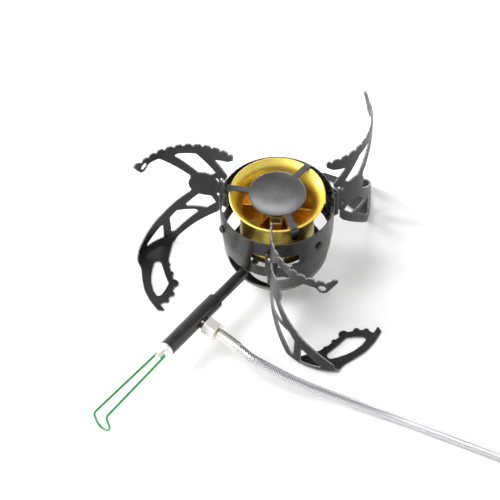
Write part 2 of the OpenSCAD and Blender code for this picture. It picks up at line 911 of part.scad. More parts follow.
// Metal core of the canister connector, with its standard thread drawn as a plain bore
module connector_body() {
    color("#c7c4bd")
        along_tail(tail_length + end_ferrule_length)
            difference() {
                cylinder(r = connector_r, h = connector_length, $fn = 64);
                translate([0, 0, -1])
                    cylinder(r = passage_r, h = connector_length, $fn = 32);
                translate([0, 0, thread_start - seal_t - 0.1])
                    cylinder(r = seal_r + running, h = seal_t + 1, $fn = 48);
                translate([0, 0, thread_start])
                    cylinder(r = thread_r, h = thread_depth + 1, $fn = 64);
            }
}

// Ribbed plastic ring that is gripped to screw the connector on
module connector_grip() {
    color("#1d1d1f")
        along_tail(tail_length + end_ferrule_length + connector_length - 15)
            linear_extrude(height = 15)
                difference() {
                    circle(grip_r, $fn = 96);
                    circle(connector_r, $fn = 64);
                    for (i = [0:23])
                        rotate([0, 0, 15 * i + 7.5])
                            translate([grip_r, 0])
                                circle(0.55, $fn = 16);
                }
}

module connector_seal() {
    color("#141414")
        along_tail(tail_length + end_ferrule_length + thread_start - seal_t - 0.1)
            difference() {
                cylinder(r = seal_r, h = seal_t, $fn = 48);
                translate([0, 0, -1])
                    cylinder(r = 2.6, h = 4, $fn = 48);
            }
}

// Pin that opens the canister's valve
module depressor_pin() {
    color("#b98f33")
        along_tail(tail_length + end_ferrule_length + 6)
            cylinder(r = passage_r - running, h = thread_start - 6.2, $fn = 32);
}

windshield_cup();
cup_rivets();
burner_support();
burner_bell();
mixing_tube();
vane_insert();
heat_block();
flame_spreader();
jet_block();
jet_nozzle();
hinge_bracket();  // hinge_bracket_a
rotate([0, 0, -120]) hinge_bracket();  // hinge_bracket_b
rotate([0, 0, 120]) hinge_bracket();  // hinge_bracket_c
bracket_rivets();
hinge_pin();  // hinge_pin_a
rotate([0, 0, -120]) hinge_pin();  // hinge_pin_b
rotate([0, 0, 120]) hinge_pin();  // hinge_pin_c
leg();  // leg_a
rotate([0, 0, -120]) swung_back(leg_b_slack) leg();  // leg_b
rotate([0, 0, 120]) leg();  // leg_c
fuel_line();
line_sleeve();
valve_body();
hose_port();
spindle_seal();
valve_spindle();
gland_ring();
control_key();
hose_nut();
nut_collar();
hose_ferrule();
hose_run();
hose_coil();
hose_tail();
coil_tie();
end_ferrule();
connector_body();
connector_grip();
connector_seal();
depressor_pin();
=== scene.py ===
"""Looks of the canister stove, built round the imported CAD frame. Lengths in this file are in
millimetres, and go to Blender in metres."""

from bisect import bisect
from math import asin, atan, atan2, ceil, cos, degrees, floor, hypot, pi, radians, sin, tan

import bpy
import numpy as np
from mathutils import Matrix, Quaternion, Vector
from mathutils.geometry import delaunay_2d_cdt


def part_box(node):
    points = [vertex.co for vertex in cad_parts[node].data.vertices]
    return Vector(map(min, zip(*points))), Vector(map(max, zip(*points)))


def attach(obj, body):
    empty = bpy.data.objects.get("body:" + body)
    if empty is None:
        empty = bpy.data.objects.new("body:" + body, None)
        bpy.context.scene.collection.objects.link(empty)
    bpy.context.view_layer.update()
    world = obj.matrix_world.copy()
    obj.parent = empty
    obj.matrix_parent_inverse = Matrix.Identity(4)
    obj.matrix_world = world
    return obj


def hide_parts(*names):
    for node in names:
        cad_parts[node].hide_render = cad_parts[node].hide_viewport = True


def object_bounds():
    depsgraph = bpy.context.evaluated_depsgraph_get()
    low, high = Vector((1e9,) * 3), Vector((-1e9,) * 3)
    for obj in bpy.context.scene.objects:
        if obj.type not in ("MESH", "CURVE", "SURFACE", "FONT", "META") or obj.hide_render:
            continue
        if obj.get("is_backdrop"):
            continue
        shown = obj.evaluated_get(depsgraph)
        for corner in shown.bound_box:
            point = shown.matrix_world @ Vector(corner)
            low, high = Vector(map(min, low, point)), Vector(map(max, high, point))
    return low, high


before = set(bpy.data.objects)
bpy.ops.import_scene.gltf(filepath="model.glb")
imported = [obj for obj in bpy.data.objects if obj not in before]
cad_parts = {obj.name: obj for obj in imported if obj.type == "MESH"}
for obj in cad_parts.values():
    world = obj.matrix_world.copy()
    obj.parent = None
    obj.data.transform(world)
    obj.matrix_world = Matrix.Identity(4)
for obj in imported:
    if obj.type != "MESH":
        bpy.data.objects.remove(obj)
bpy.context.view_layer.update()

MM = 0.001
ROOT = "stove"


def polar(radius, angle):
    """Plane coordinates of a point at a radius and at an angle in degrees."""
    return radius * cos(radians(angle)), radius * sin(radians(angle))


def direction(angle):
    """Level unit vector at an angle in degrees, seen from above."""
    return Vector((*polar(1, angle), 0))


def raised(z):
    return Vector((0, 0, z))


def spin(angle, axis="Z"):
    """A turn about an axis, in degrees."""
    return Matrix.Rotation(radians(angle), 4, axis)


def shift(x, y=0, z=0):
    return Matrix.Translation((x, y, z))


# ---- sizes and places
cup_low, cup_high = (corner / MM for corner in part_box("windshield_cup"))
CUP_R, CUP_TOP, CUP_BOTTOM = cup_high.x, cup_high.z, cup_low.z
CUP_WALL = 0.8
CUP_HOLE_R = 20
RIVET_ANGLE = 197
RIVET_Z = 55
THIRDS = (0, 120, 240)

BELL_MOUTH_R = 30
BELL_NECK_R = 23
BELL_TOP = 75.6
BELL_FLARE_Z = 62
BELL_FOOT_Z = 38.2
BELL_WALL = 0.8
LIP_R = 0.55

SPREADER_R = 18
STRAP_ANGLES = (50, 170, 290)
STRAP_Z = BELL_TOP + LIP_R + 0.05
STRAP_T = 0.8
STRAP_W = 4.2

LEG_R = 40
LEG_T = 1.2
HINGE_ANGLES = {"a": 144, "b": 24, "c": 264}
FOLD = 86.2
ARC_START = HINGE_ANGLES["a"] - FOLD
HINGE = LEG_R * direction(HINGE_ANGLES["a"])
ARC_CENTRE = HINGE - LEG_R * direction(ARC_START)
BARREL_R = 2.2
BARREL_Z = (40.3, 59.7)
EAR_T = 1.6
EAR_R = 2.25
EAR_ENDS = (BARREL_Z[0] - 0.3 - EAR_T, BARREL_Z[1] + 0.3 + EAR_T)
BEND_Z = 4.2
BEND_R = LEG_R + LEG_T / 2 - BEND_Z
BEND_MID = BEND_Z - LEG_T / 2
BEND_LENGTH = BEND_MID * pi / 2

VALVE_ANGLE = 231.6
LINE_Z = 32
SLEEVE_R = 3.65
SLEEVE_START = 33.5
VALVE_R = 5.2
VALVE_START = 61
VALVE_END = 109.8
PORT_AT = 79.8
PORT_DIP = 8
NUT_START = 7.2
NUT_LENGTH = 8.6
COLLAR_LENGTH = 1.2
COLLAR_INSET = 6.42
FERRULE_R = 3.6
FERRULE_LENGTH = 16
HOSE_R = 2.9
COIL_R = 32
RUN_ANGLE = -25.5
COIL_JOIN = (163, -161.8)
COIL_TURN = 450
TAIL_LENGTH = 21

# ---- camera
TARGET = Vector((-17.0, -9.0, 32.7)) * MM
VIEW_DISTANCE = 2.543
VIEW_ELEVATION = radians(50.86)
VIEW_ROLL = radians(-0.29)

camera_data = bpy.data.cameras.new("camera")
camera_data.sensor_width = 36
camera_data.lens = 292.6
camera_data.clip_start = 0.1
camera_data.clip_end = 20
camera = bpy.data.objects.new("camera", camera_data)
bpy.context.scene.collection.objects.link(camera)
back = Vector((0, -cos(VIEW_ELEVATION), sin(VIEW_ELEVATION)))
camera.location = TARGET + VIEW_DISTANCE * back
camera.rotation_mode = "QUATERNION"
camera.rotation_quaternion = (-back).to_track_quat("-Z", "Y") @ Quaternion((0, 0, 1), VIEW_ROLL)
bpy.context.scene.camera = camera


# ---- shapes
class Shape:
    """Vertices, faces, a normal for every vertex, surface coordinates and an edge value, which the
    materials paint as lighter edges (wear and painted highlight) and as painted shade in a braid.
    """

    def __init__(self):
        self.points, self.faces, self.normals, self.surface, self.edge = [], [], [], [], []

    def add(self, point, normal, surface=(0, 0), edge=0.0):
        self.points.append(Vector(point))
        self.normals.append(Vector(normal))
        self.surface.append(surface)
        self.edge.append(edge)
        return len(self.points) - 1

    def shade(self):
        """Takes the normals from the faces, for a surface with relief."""
        sums = [Vector() for _ in self.points]
        for face in self.faces:
            if len(face) == 4:
                a, b, c, d = (self.points[i] for i in face)
                flat = (c - a).cross(d - b)
                for i in face:
                    sums[i] += flat
        self.normals = [(n if n.length else old).normalized() for n, old in zip(sums, self.normals)]

    def moved(self, matrix):
        """A copy of the shape, moved by a matrix."""
        made = Shape()
        turn = matrix.to_3x3()
        made.points = [matrix @ p for p in self.points]
        made.normals = [turn @ n for n in self.normals]
        made.faces, made.surface, made.edge = self.faces[:], self.surface[:], self.edge[:]
        return made

    def join(self, other):
        first = len(self.points)
        self.points += other.points
        self.normals += other.normals
        self.surface += other.surface
        self.edge += other.edge
        self.faces += [tuple(i + first for i in face) for face in other.faces]
        return self


def piece(name, shape, material, slot, *stands_for, body=ROOT):
    """Makes a Blender object of a shape, and puts it on a CAD body in place of CAD nodes."""
    mesh = bpy.data.meshes.new(name)
    mesh.from_pydata([p * MM for p in shape.points], [], shape.faces)
    layer = mesh.uv_layers.new(name="surface")
    edge = mesh.attributes.new("edge", "FLOAT", "POINT")
    edge.data.foreach_set("value", np.array(shape.edge, np.float32))
    loops = np.zeros(len(mesh.loops), np.int32)
    mesh.loops.foreach_get("vertex_index", loops)
    surface = np.array(shape.surface, np.float32)[loops]
    layer.data.foreach_set("uv", surface.ravel())
    mesh.polygons.foreach_set("use_smooth", np.ones(len(mesh.polygons), bool))
    mesh.materials.append(material)
    mesh.validate()
    mesh.update()
    mesh.normals_split_custom_set_from_vertices([n.normalized() for n in shape.normals])
    made = bpy.data.objects.new(name, mesh)
    bpy.context.scene.collection.objects.link(made)
    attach(made, body)
    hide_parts(*stands_for)
    return made


STRAIGHT = 0.03  # radians, the turn below which a corner stays as it is


def rounded(corners, radius, closed=True):
    """A polygon with its corners rounded: (x, y, normal x, normal y) for each point. The
    material is on the left of the outline, and the normals point to its right."""
    made = []
    count = len(corners)
    for i, corner in enumerate(corners):
        here = Vector(corner[:2])
        size = corner[2] if len(corner) > 2 else radius
        if not closed and i in (0, count - 1):
            step = Vector(corners[1][:2]) - here if i == 0 else here - Vector(corners[i - 1][:2])
            step.normalize()
            made.append((here.x, here.y, step.y, -step.x))
            continue
        before = here - Vector(corners[i - 1][:2])
        after = Vector(corners[(i + 1) % count][:2]) - here
        room = 0.48 * min(before.length, after.length)
        before.normalize()
        after.normalize()
        turn = before.angle_signed(after)
        n0, n1 = Vector((before.y, -before.x)), Vector((after.y, -after.x))
        if abs(turn) < STRAIGHT or size <= 0:
            n = (n0 + n1).normalized()
            made.append((here.x, here.y, n.x, n.y))
            continue
        cut = min(size * tan(abs(turn) / 2), room)
        arc = cut / tan(abs(turn) / 2)
        side = 1 if turn < 0 else -1
        centre = here - before * cut - n0 * arc * side
        parts = max(1, min(4, ceil(abs(turn) / 0.35)))
        for k in range(parts + 1):
            n = Matrix.Rotation(-turn * k / parts, 2) @ n0
            made.append((centre.x + n.x * arc * side, centre.y + n.y * arc * side, n.x, n.y))
    return made


GIRTH_UNIT = 36  # surface coordinate of one whole turn, in millimetres


def lathe(profile, steps=96, closed=True, ripple=None):
    """Turns a profile of (radius, height, normal r, normal z) about local Z. The material is
    on the left of the profile."""
    made = Shape()
    along = 0
    rings = []
    for i, (r, z, nr, nz) in enumerate(profile):
        if i:
            along += hypot(r - profile[i - 1][0], z - profile[i - 1][1])
        ring = []
        for k in range(1 if r < 1e-6 else steps):
            out = direction(360 * k / steps)
            far = r if ripple is None else ripple(360 * k / steps, r)
            ring.append(made.add(out * far + raised(z), out * nr + raised(nz),
                                 (GIRTH_UNIT * k / steps, along)))
        rings.append(ring)
    pairs = list(zip(rings, rings[1:])) + ([(rings[-1], rings[0])] if closed else [])
    for low, high in pairs:
        for k in range(steps):
            quad = [low[k % len(low)], low[(k + 1) % steps % len(low)],
                    high[(k + 1) % steps % len(high)], high[k % len(high)]]
            face = tuple(dict.fromkeys(quad))
            if len(face) > 2:
                made.faces.append(face)
    return made


def turned(corners, edge=0.25, steps=96):
    """A solid of revolution from its half section, which starts and ends on the axis."""
    return lathe(rounded(corners, edge, closed=False), steps, closed=False)


def ring(corners, edge=0.2, steps=96):
    """A ring of revolution from its closed section."""
    return lathe(rounded(corners, edge), steps)


def densified(contour, step):
    made = []
    for a, b in zip(contour, contour[1:] + contour[:1]):
        a, b = Vector(a[:2]), Vector(b[:2])
        parts = max(1, ceil((b - a).length / step))
        made += [a.lerp(b, k / parts) for k in range(parts)]
    return made


def within(contour, x, y):
    inside = False
    for (x0, y0), (x1, y1) in zip(contour, contour[1:] + contour[:1]):
        if (y0 > y) != (y1 > y) and x < (x1 - x0) * (y - y0) / (y1 - y0) + x0:
            inside = not inside
    return inside


def circle(x, y, r, steps=32):
    return [(x + r * cos(2 * pi * k / steps), y + r * sin(2 * pi * k / steps))
            for k in range(steps)]


ROW = 0.87  # height of a triangle of the inner grid, as a share of its side
TIE_TOLERANCE = 1e-5
SEAM_TOLERANCE = 1e-3
SMALL = 0.01


def sheet(contours, solid, place, thickness, edge=0.25, grid=2.0, step=1.0, wrap=False):
    """A plate of even thickness with rounded edges. The contours and the test for solid are in
    flat coordinates, and place(u, v) gives the point of the plate's middle. With wrap, its left
    and right ends are one seam."""
    points, ties, ends = [], [], []
    for contour in contours:
        dense = densified(contour, step)
        first = len(points)
        points += dense
        count = len(dense)
        ties += [(first + i, first + (i + 1) % count) for i in range(count)]
        ends += [(dense[i], dense[(i + 1) % count]) for i in range(count)]
    low = np.array([min(p.x for p in points), min(p.y for p in points)])
    high = np.array([max(p.x for p in points), max(p.y for p in points)])
    a = np.array([e[0][:] for e in ends])
    d = np.array([e[1][:] for e in ends]) - a
    inner = []
    for row in range(1, int((high[1] - low[1]) / (grid * ROW)) + 1):
        for column in range(int((high[0] - low[0]) / grid) + 2):
            inner.append((low[0] + (column + 0.5 * (row % 2)) * grid, low[1] + row * grid * ROW))
    inner = np.array([p for p in inner if p[0] < high[0]])
    near = np.full(len(inner), 1e9)
    for start, span in zip(a, d):
        t = np.clip(((inner - start) @ span) / max(span @ span, 1e-12), 0, 1)
        near = np.minimum(near, np.hypot(*(inner - start - t[:, None] * span).T))
    points += [Vector(p) for p in inner[near > 0.45 * grid]]
    flat, _, faces, *_ = delaunay_2d_cdt(points, ties, [], 0, TIE_TOLERANCE)
    faces = [f for f in faces if solid(*(sum((flat[i] for i in f), Vector((0, 0))) / 3))]
    same = list(range(len(flat)))
    if wrap:
        left = [i for i, p in enumerate(flat) if abs(p.x - low[0]) < SEAM_TOLERANCE]
        for i, p in enumerate(flat):
            if abs(p.x - high[0]) < SEAM_TOLERANCE:
                same[i] = min(left, key=lambda k: abs(flat[k].y - p.y))
    uses = {}
    for f in faces:
        for i, j in zip(f, f[1:] + f[:1]):
            key = tuple(sorted((same[i], same[j])))
            uses.setdefault(key, []).append((i, j))
    rim = [pairs[0] for pairs in uses.values() if len(pairs) == 1]
    outward = {}
    for i, j in rim:
        way = (flat[j] - flat[i]).normalized()
        for k in (i, j):
            outward.setdefault(same[k], []).append(Vector((way.y, -way.x)))
    made = Shape()
    half = thickness / 2
    arcs = [0, 30, 60, 90]
    levels = {}
    for i in sorted({same[i] for f in faces for i in f}):
        u, v = flat[i]
        middle = place(u, v)
        across = place(u + SMALL, v) - place(u - SMALL, v)
        up = place(u, v + SMALL) - place(u, v - SMALL)
        normal = across.cross(up).normalized()
        if i not in outward:
            levels[i] = [made.add(middle + normal * half, normal, (u, v)),
                         made.add(middle - normal * half, -normal, (u, v))]
            continue
        out = sum(outward[i], Vector((0, 0)))
        out = out.normalized() if out.length > 1e-6 else outward[i][0]
        miter = 1 / max(0.5, out.dot(outward[i][0]))
        aside = (place(u + out.x * SMALL, v + out.y * SMALL) - middle).normalized()
        # The edge value, the sine of the bevel's turn, sets the coatings' lighter edges, which are
        # partly wear and partly painted highlight.
        ringed = []
        for side in (1, -1):
            for arc in arcs if side == 1 else reversed(arcs):
                sine, cosine = sin(radians(arc)), cos(radians(arc))
                inset = edge * (1 - sine) * miter
                at = place(u - out.x * inset, v - out.y * inset)
                ringed.append(made.add(at + normal * side * (half - edge + edge * cosine),
                                       aside * sine + normal * side * cosine, (u, v), sine))
        levels[i] = ringed
    for f in faces:
        made.faces.append(tuple(levels[same[i]][0] for i in f))
        made.faces.append(tuple(levels[same[i]][-1] for i in reversed(f)))
    for i, j in rim:
        one, two = levels[same[i]], levels[same[j]]
        for k in range(len(one) - 1):
            made.faces.append((one[k], one[k + 1], two[k + 1], two[k]))
    return made


def plate(outline, holes, place, thickness, edge=0.2, grid=2.0, step=1.0):
    """A sheet with one outline and some holes."""
    outline = [p[:2] for p in outline]
    holes = [[p[:2] for p in hole] for hole in holes]

    def solid(u, v):
        return within(outline, u, v) and not any(within(hole, u, v) for hole in holes)

    return sheet([outline] + holes, solid, place, thickness, edge, grid, step)


CAP = 0.35  # how far a bar's rounded end stands out, as a share of its radius


def tube(path, radius, sides=24, relief=None):
    """A round bar swept along a path, with rounded ends. With relief, its surface rises and
    falls, and its ends are flat."""
    made = Shape()
    path = [Vector(p) for p in path]
    count = len(path)
    ways = [(path[min(i + 1, count - 1)] - path[max(i - 1, 0)]).normalized() for i in range(count)]
    up = ways[0].orthogonal().normalized()
    rings, along = [], 0

    def add_ring(centre, way, up, size, slope, along):
        side = way.cross(up)
        found = []
        for k in range(sides):
            out = cos(2 * pi * k / sides) * up + sin(2 * pi * k / sides) * side
            far, painted_weave_shade = size, 0
            # With relief, the second value is painted shade in the weave, kept as the edge value.
            if relief:
                rise, painted_weave_shade = relief(360 * k / sides, along)
                far = size + rise
            found.append(made.add(centre + out * far, out + way * slope,
                                  (GIRTH_UNIT * k / sides, along), painted_weave_shade))
        rings.append(found)

    cap = [] if relief else [(0.75, 0.25, 1.2), (0.93, 0.5, 0.6)]
    for size, share, slope in cap:
        add_ring(path[0] - ways[0] * radius * CAP * (1 - share), ways[0], up, radius * size,
                 -slope, 0)
    for i in range(count):
        if i:
            along += (path[i] - path[i - 1]).length
            up = up - ways[i] * up.dot(ways[i])
            up.normalize()
        add_ring(path[i], ways[i], up, radius, 0, along)
    for size, share, slope in reversed(cap):
        add_ring(path[-1] + ways[-1] * radius * CAP * (1 - share), ways[-1], up, radius * size,
                 slope, along)
    for low, high in zip(rings, rings[1:]):
        for k in range(sides):
            n = (k + 1) % sides
            made.faces.append((low[k], low[n], high[n], high[k]))
    if relief:
        made.shade()
    for ring_, way, flip in ((rings[0], -ways[0], True), (rings[-1], ways[-1], False)):
        ends = [made.add(made.points[i], way, made.surface[i]) for i in ring_]
        made.faces.append(tuple(reversed(ends)) if flip else tuple(ends))
    return made


def facing(angle, distance, height, aside=0):
    """Local Z points outward at a direction round the burner."""
    return spin(angle) @ shift(distance, aside, height) @ spin(90, "Y")


def on_line(distance):
    return facing(VALVE_ANGLE, distance, LINE_Z)


def on_port(distance):
    """Local Z points out of the valve along the hose port."""
    return (spin(VALVE_ANGLE) @ shift(PORT_AT, 0, LINE_Z) @ spin(-90 - PORT_DIP, "X")
            @ shift(0, 0, distance))


# ---- materials
def new_material(name, **constants):
    """A material, its tree and its shader, with constants on the shader's own sockets."""
    made = bpy.data.materials.new(name)
    made.use_nodes = True
    tree = made.node_tree
    shader = tree.nodes["Principled BSDF"]
    for key, value in constants.items():
        shader.inputs[key.replace("_", " ")].default_value = value
    return made, tree, shader


def add(tree, kind, **values):
    """A shader node. A value with a capital letter is one of its inputs."""
    node = tree.nodes.new("ShaderNode" + kind)
    for key, value in values.items():
        if key[0].isupper():
            node.inputs[key].default_value = value
        else:
            setattr(node, key, value)
    return node


def grey(value):
    return (value, value, value)


def mapped(tree, scale=(1, 1, 1), surface=False):
    """Coordinates of the object or of its surface, in millimetres times a scale."""
    if surface:
        source = add(tree, "UVMap", uv_map="surface")
    else:
        source = add(tree, "TexCoord")
    scale = scale if surface else tuple(s / MM for s in scale)
    mapping = add(tree, "Mapping", Scale=scale)
    tree.links.new(source.outputs["UV" if surface else "Object"], mapping.inputs["Vector"])
    return mapping.outputs["Vector"]


def noise(tree, coordinates, scale=1.0, detail=4.0, roughness=0.6):
    node = add(tree, "TexNoise", Scale=scale, Detail=detail, Roughness=roughness)
    tree.links.new(coordinates, node.inputs["Vector"])
    return node.outputs["Fac"]


def ranged(tree, value, low, high, start=0.3, end=0.7):
    node = add(tree, "MapRange")
    for key, number in (("From Min", start), ("From Max", end), ("To Min", low), ("To Max", high)):
        node.inputs[key].default_value = number
    tree.links.new(value, node.inputs["Value"])
    return node.outputs["Result"]


def feed(tree, socket, value):
    """Links a socket, or sets it to a number or a colour."""
    if isinstance(value, tuple):
        socket.default_value = (*value, 1)
    elif isinstance(value, (int, float)):
        socket.default_value = value
    else:
        tree.links.new(value, socket)


def mixed(tree, factor, one, two):
    node = add(tree, "Mix", data_type="RGBA")
    tree.links.new(factor, node.inputs["Factor"])
    feed(tree, node.inputs[6], one)  # the colours A and B
    feed(tree, node.inputs[7], two)
    return node.outputs[2]  # the mixed colour


def product(tree, a, b):
    node = add(tree, "Math", operation="MULTIPLY")
    feed(tree, node.inputs[0], a)
    feed(tree, node.inputs[1], b)
    return node.outputs[0]


def bumped(tree, shader, height, strength, distance):
    node = add(tree, "Bump", Strength=strength, Distance=distance * MM)
    tree.links.new(height, node.inputs["Height"])
    tree.links.new(node.outputs["Normal"], shader.inputs["Normal"])


# The edge value: lighter coating edges, partly wear and partly painted highlight, and painted shade
# in the braid's weave.
def wear_and_painted_light_mask(tree):
    return add(tree, "Attribute", attribute_name="edge").outputs["Fac"]


def dressed(tree, shader, colour, roughness):
    """Links the colour and the roughness of a material."""
    tree.links.new(colour, shader.inputs["Base Color"])
    tree.links.new(roughness, shader.inputs["Roughness"])


def coated(name, base, wear_and_highlight_colour, roughness, grain=0.6, edge_wear_and_highlight=0.7, sheen=0.5, own=True, scuffs=0.4):
    """Powder or anodised coating: fine grain, faint clouding, and lighter edges that are partly
    wear and partly painted highlight.
    """
    made, tree, shader = new_material(name, Specular_IOR_Level=sheen)
    where = mapped(tree)
    cloud = noise(tree, where, 0.09, 3)
    fine = noise(tree, where, 3.2, 3, 0.7)
    scuff = noise(tree, mapped(tree, (0.5, 2.6, 2.6)), 0.8, 5, 0.75)
    colour = mixed(tree, ranged(tree, cloud, 0, 1), tuple(0.86 * c for c in base),
                   tuple(1.14 * c for c in base))
    colour = mixed(tree, ranged(tree, scuff, 0, scuffs, 0.62, 0.8), colour, wear_and_highlight_colour)
    if own:
        # Lighter edges from the bevel's edge value: partly wear, partly painted highlight.
        patchy_wear_and_highlight = ranged(tree, noise(tree, where, 0.9, 4), 0.25, 1, 0.35, 0.65)
        rubbed_and_lit_edge = product(tree, wear_and_painted_light_mask(tree), patchy_wear_and_highlight)
        colour = mixed(tree, product(tree, rubbed_and_lit_edge, edge_wear_and_highlight), colour, wear_and_highlight_colour)
    dressed(tree, shader, colour, ranged(tree, cloud, roughness - 0.05, roughness + 0.07))
    bumped(tree, shader, fine, grain, 0.02)
    return made


def metal(name, base, other, roughness, brush=(0.4, 9), strength=0.25, own=True, metallic=1):
    """Metal with fine turning or rolling lines and slow changes of colour. The lines follow the
    surface of a piece made here, and run level on a CAD node."""
    made, tree, shader = new_material(name, Metallic=metallic)
    coarse, fine = brush
    drawn = mapped(tree, (coarse, fine, 1), True) if own else mapped(tree, (coarse, coarse, fine))
    lines = noise(tree, drawn, 1, 4, 0.7)
    cloud = noise(tree, mapped(tree), 0.16, 3)
    colour = mixed(tree, ranged(tree, cloud, 0, 1), base, other)
    colour = mixed(tree, ranged(tree, lines, 0, 0.25), colour, tuple(0.72 * c for c in base))
    dressed(tree, shader, colour, ranged(tree, lines, roughness, roughness + 0.1))
    bumped(tree, shader, lines, strength, 0.01)
    return made


def enamel(name, base, deep, roughness):
    """Thick glossy paint with slow waves in its surface."""
    made, tree, shader = new_material(name, Coat_Weight=0.5, Coat_Roughness=0.12)
    where = mapped(tree)
    wave = noise(tree, where, 0.5, 2)
    colour = mixed(tree, ranged(tree, wave, 0, 1), base, deep)
    dressed(tree, shader, colour,
            ranged(tree, noise(tree, where, 2, 4), roughness, roughness + 0.12))
    bumped(tree, shader, wave, 0.35, 0.06)
    return made


def rubber(name, base):
    made, tree, shader = new_material(name)
    where = mapped(tree)
    fine = noise(tree, where, 4, 4, 0.7)
    dust = noise(tree, where, 0.4, 4)
    colour = mixed(tree, ranged(tree, dust, 0, 0.5), base, tuple(2.2 * c + 0.01 for c in base))
    dressed(tree, shader, colour, ranged(tree, dust, 0.62, 0.8))
    bumped(tree, shader, fine, 0.5, 0.03)
    return made


def braid_material(name):
    """Stainless wire braid: bright wires, with painted shade where they dive under each other."""
    made, tree, shader = new_material(name, Metallic=0.95)
    where = mapped(tree)
    stain = ranged(tree, noise(tree, where, 1.4, 4), 0, 0.2)
    # Painted shade: the wires turn near black where the weave dips under the wires above.
    colour = mixed(tree, wear_and_painted_light_mask(tree), (0.86, 0.86, 0.87), (0.02, 0.02, 0.025))
    colour = mixed(tree, stain, colour, (0.6, 0.6, 0.62))
    dressed(tree, shader, colour, ranged(tree, noise(tree, where, 5, 2), 0.24, 0.4))
    return made


DARK = (0.014, 0.014, 0.015)
FINE_LINES = (0.3, 8)
SHEET_LINES = (0.5, 7)
CUP_COAT = coated("cup_coat", (0.007, 0.007, 0.0074), grey(0.16), 0.27, 0.08, sheen=0.36,
                  scuffs=0.12)
# The legs' light grey edges are partly wear and partly painted highlight.
LEG_COAT = coated("leg_coat", (0.01, 0.01, 0.0105), grey(0.4), 0.34, 0.5, edge_wear_and_highlight=0.9, sheen=0.3,
                  scuffs=0.15)
BLACK_COAT = coated("black_coat", DARK, grey(0.12), 0.38, 0.5)
BLACK_CAD = coated("black_coat_plain", DARK, grey(0.12), 0.42, 0.5, own=False)
VALVE_COAT = coated("valve_coat", (0.008, 0.008, 0.009), grey(0.12), 0.2, 0.08, sheen=0.8,
                    scuffs=0.06)
SLEEVE_COAT = coated("sleeve_coat", (0.012, 0.012, 0.013), grey(0.2), 0.2, 0.05, sheen=0.9,
                     scuffs=0.06)
GRIP_PLASTIC = coated("grip_plastic", (0.022, 0.022, 0.024), grey(0.08), 0.5, 0.6, own=False)
BELL_BRASS = metal("bell_brass", (0.97, 0.76, 0.17), (0.93, 0.69, 0.14), 0.36, (0.3, 6), 0.12)
BRIGHT_BRASS = metal("bright_brass", (0.93, 0.72, 0.30), (0.88, 0.62, 0.2), 0.24)
VANE_BRASS = metal("vane_brass", (0.85, 0.6, 0.2), (0.72, 0.45, 0.12), 0.26)
PLAIN_BRASS = metal("plain_brass", (0.7, 0.45, 0.12), (0.55, 0.32, 0.08), 0.32, own=False)
SPREADER_STEEL = metal("spreader_steel", (0.15, 0.15, 0.152), (0.12, 0.12, 0.122), 0.32,
                       SHEET_LINES, 0.2)
STRAP_STEEL = metal("strap_steel", (0.1, 0.1, 0.102), (0.07, 0.07, 0.072), 0.3, SHEET_LINES, 0.2)
PLAIN_STEEL = metal("plain_steel", (0.46, 0.46, 0.47), (0.36, 0.36, 0.38), 0.3, own=False)
PIN_STEEL = metal("pin_steel", (0.4, 0.4, 0.41), (0.3, 0.3, 0.31), 0.3)
NICKEL = metal("nickel", (0.96, 0.94, 0.92), (0.92, 0.9, 0.88), 0.16, own=False, metallic=0.75)
TURNED_NICKEL = metal("turned_nickel", (0.92, 0.9, 0.88), (0.86, 0.84, 0.82), 0.2, FINE_LINES,
                      metallic=0.8)
FERRULE_NICKEL = metal("ferrule_nickel", (0.84, 0.8, 0.74), (0.76, 0.72, 0.65), 0.22,
                       FINE_LINES, metallic=0.9)
COLLAR_METAL = metal("collar_metal", (0.72, 0.55, 0.36), (0.6, 0.44, 0.28), 0.28, FINE_LINES)
KEY_GREEN = enamel("key_green", (0.02, 0.30, 0.06), (0.012, 0.2, 0.04), 0.26)
BRAID = braid_material("hose_braid")
TIE_RUBBER = rubber("tie_rubber", grey(0.02))
SEAL_RUBBER = rubber("seal_rubber", grey(0.012))


# ---- hose
valve_cos, valve_sin = polar(1, VALVE_ANGLE)
dip_cos, dip_sin = polar(1, PORT_DIP)
PORT_WAY = Vector((-valve_sin * dip_cos, valve_cos * dip_cos, -dip_sin))
FERRULE_START = NUT_START + NUT_LENGTH + COLLAR_LENGTH
HOSE_START = (direction(VALVE_ANGLE) * PORT_AT + raised(LINE_Z)
              + PORT_WAY * (FERRULE_START + FERRULE_LENGTH))
HOSE_POINTS = [
    (-17, -88.8, 26.1), (-10, -92.5, 24.2), (-3, -95.4, 21.8), (4, -98.1, 19.2),
    (11, -100.2, 16.7), (18, -102.2, 14.3), (25, -103.9, 12.1), (33, -105.9, 9.8),
    (41, -108.1, 7.9), (49, -110.6, 6.2), (58, -113.5, 4.7), (67, -116.7, 3.6),
    (76, -120.4, 3), (84, -124.1, 2.9), (100, -131.7, 2.9), (116, -139.3, 2.9),
    (132, -147, 2.9), (148, -154.6, 2.9), (*COIL_JOIN, HOSE_R)]
JOIN_ANGLE = RUN_ANGLE - 90
COIL_CENTRE = Vector((*COIL_JOIN, 0)) - COIL_R * direction(JOIN_ANGLE)
LEAVE_ANGLE = JOIN_ANGLE + COIL_TURN
CLIMB_START = 270  # the coil's turn, in degrees, where it starts to climb over itself
CLIMB_END = 325
TAIL_START = COIL_CENTRE + COIL_R * direction(LEAVE_ANGLE) + raised(3 * HOSE_R)
TAIL_WAY = direction(LEAVE_ANGLE + 90)

BRAID_CARRIERS = 9
BRAID_LEAD = BRAID_CARRIERS / (2 * pi * HOSE_R) * 0.95
BRAID_RELIEF = 0.26


def smooth(t):
    t = min(max(t, 0), 1)
    return t * t * (3 - 2 * t)


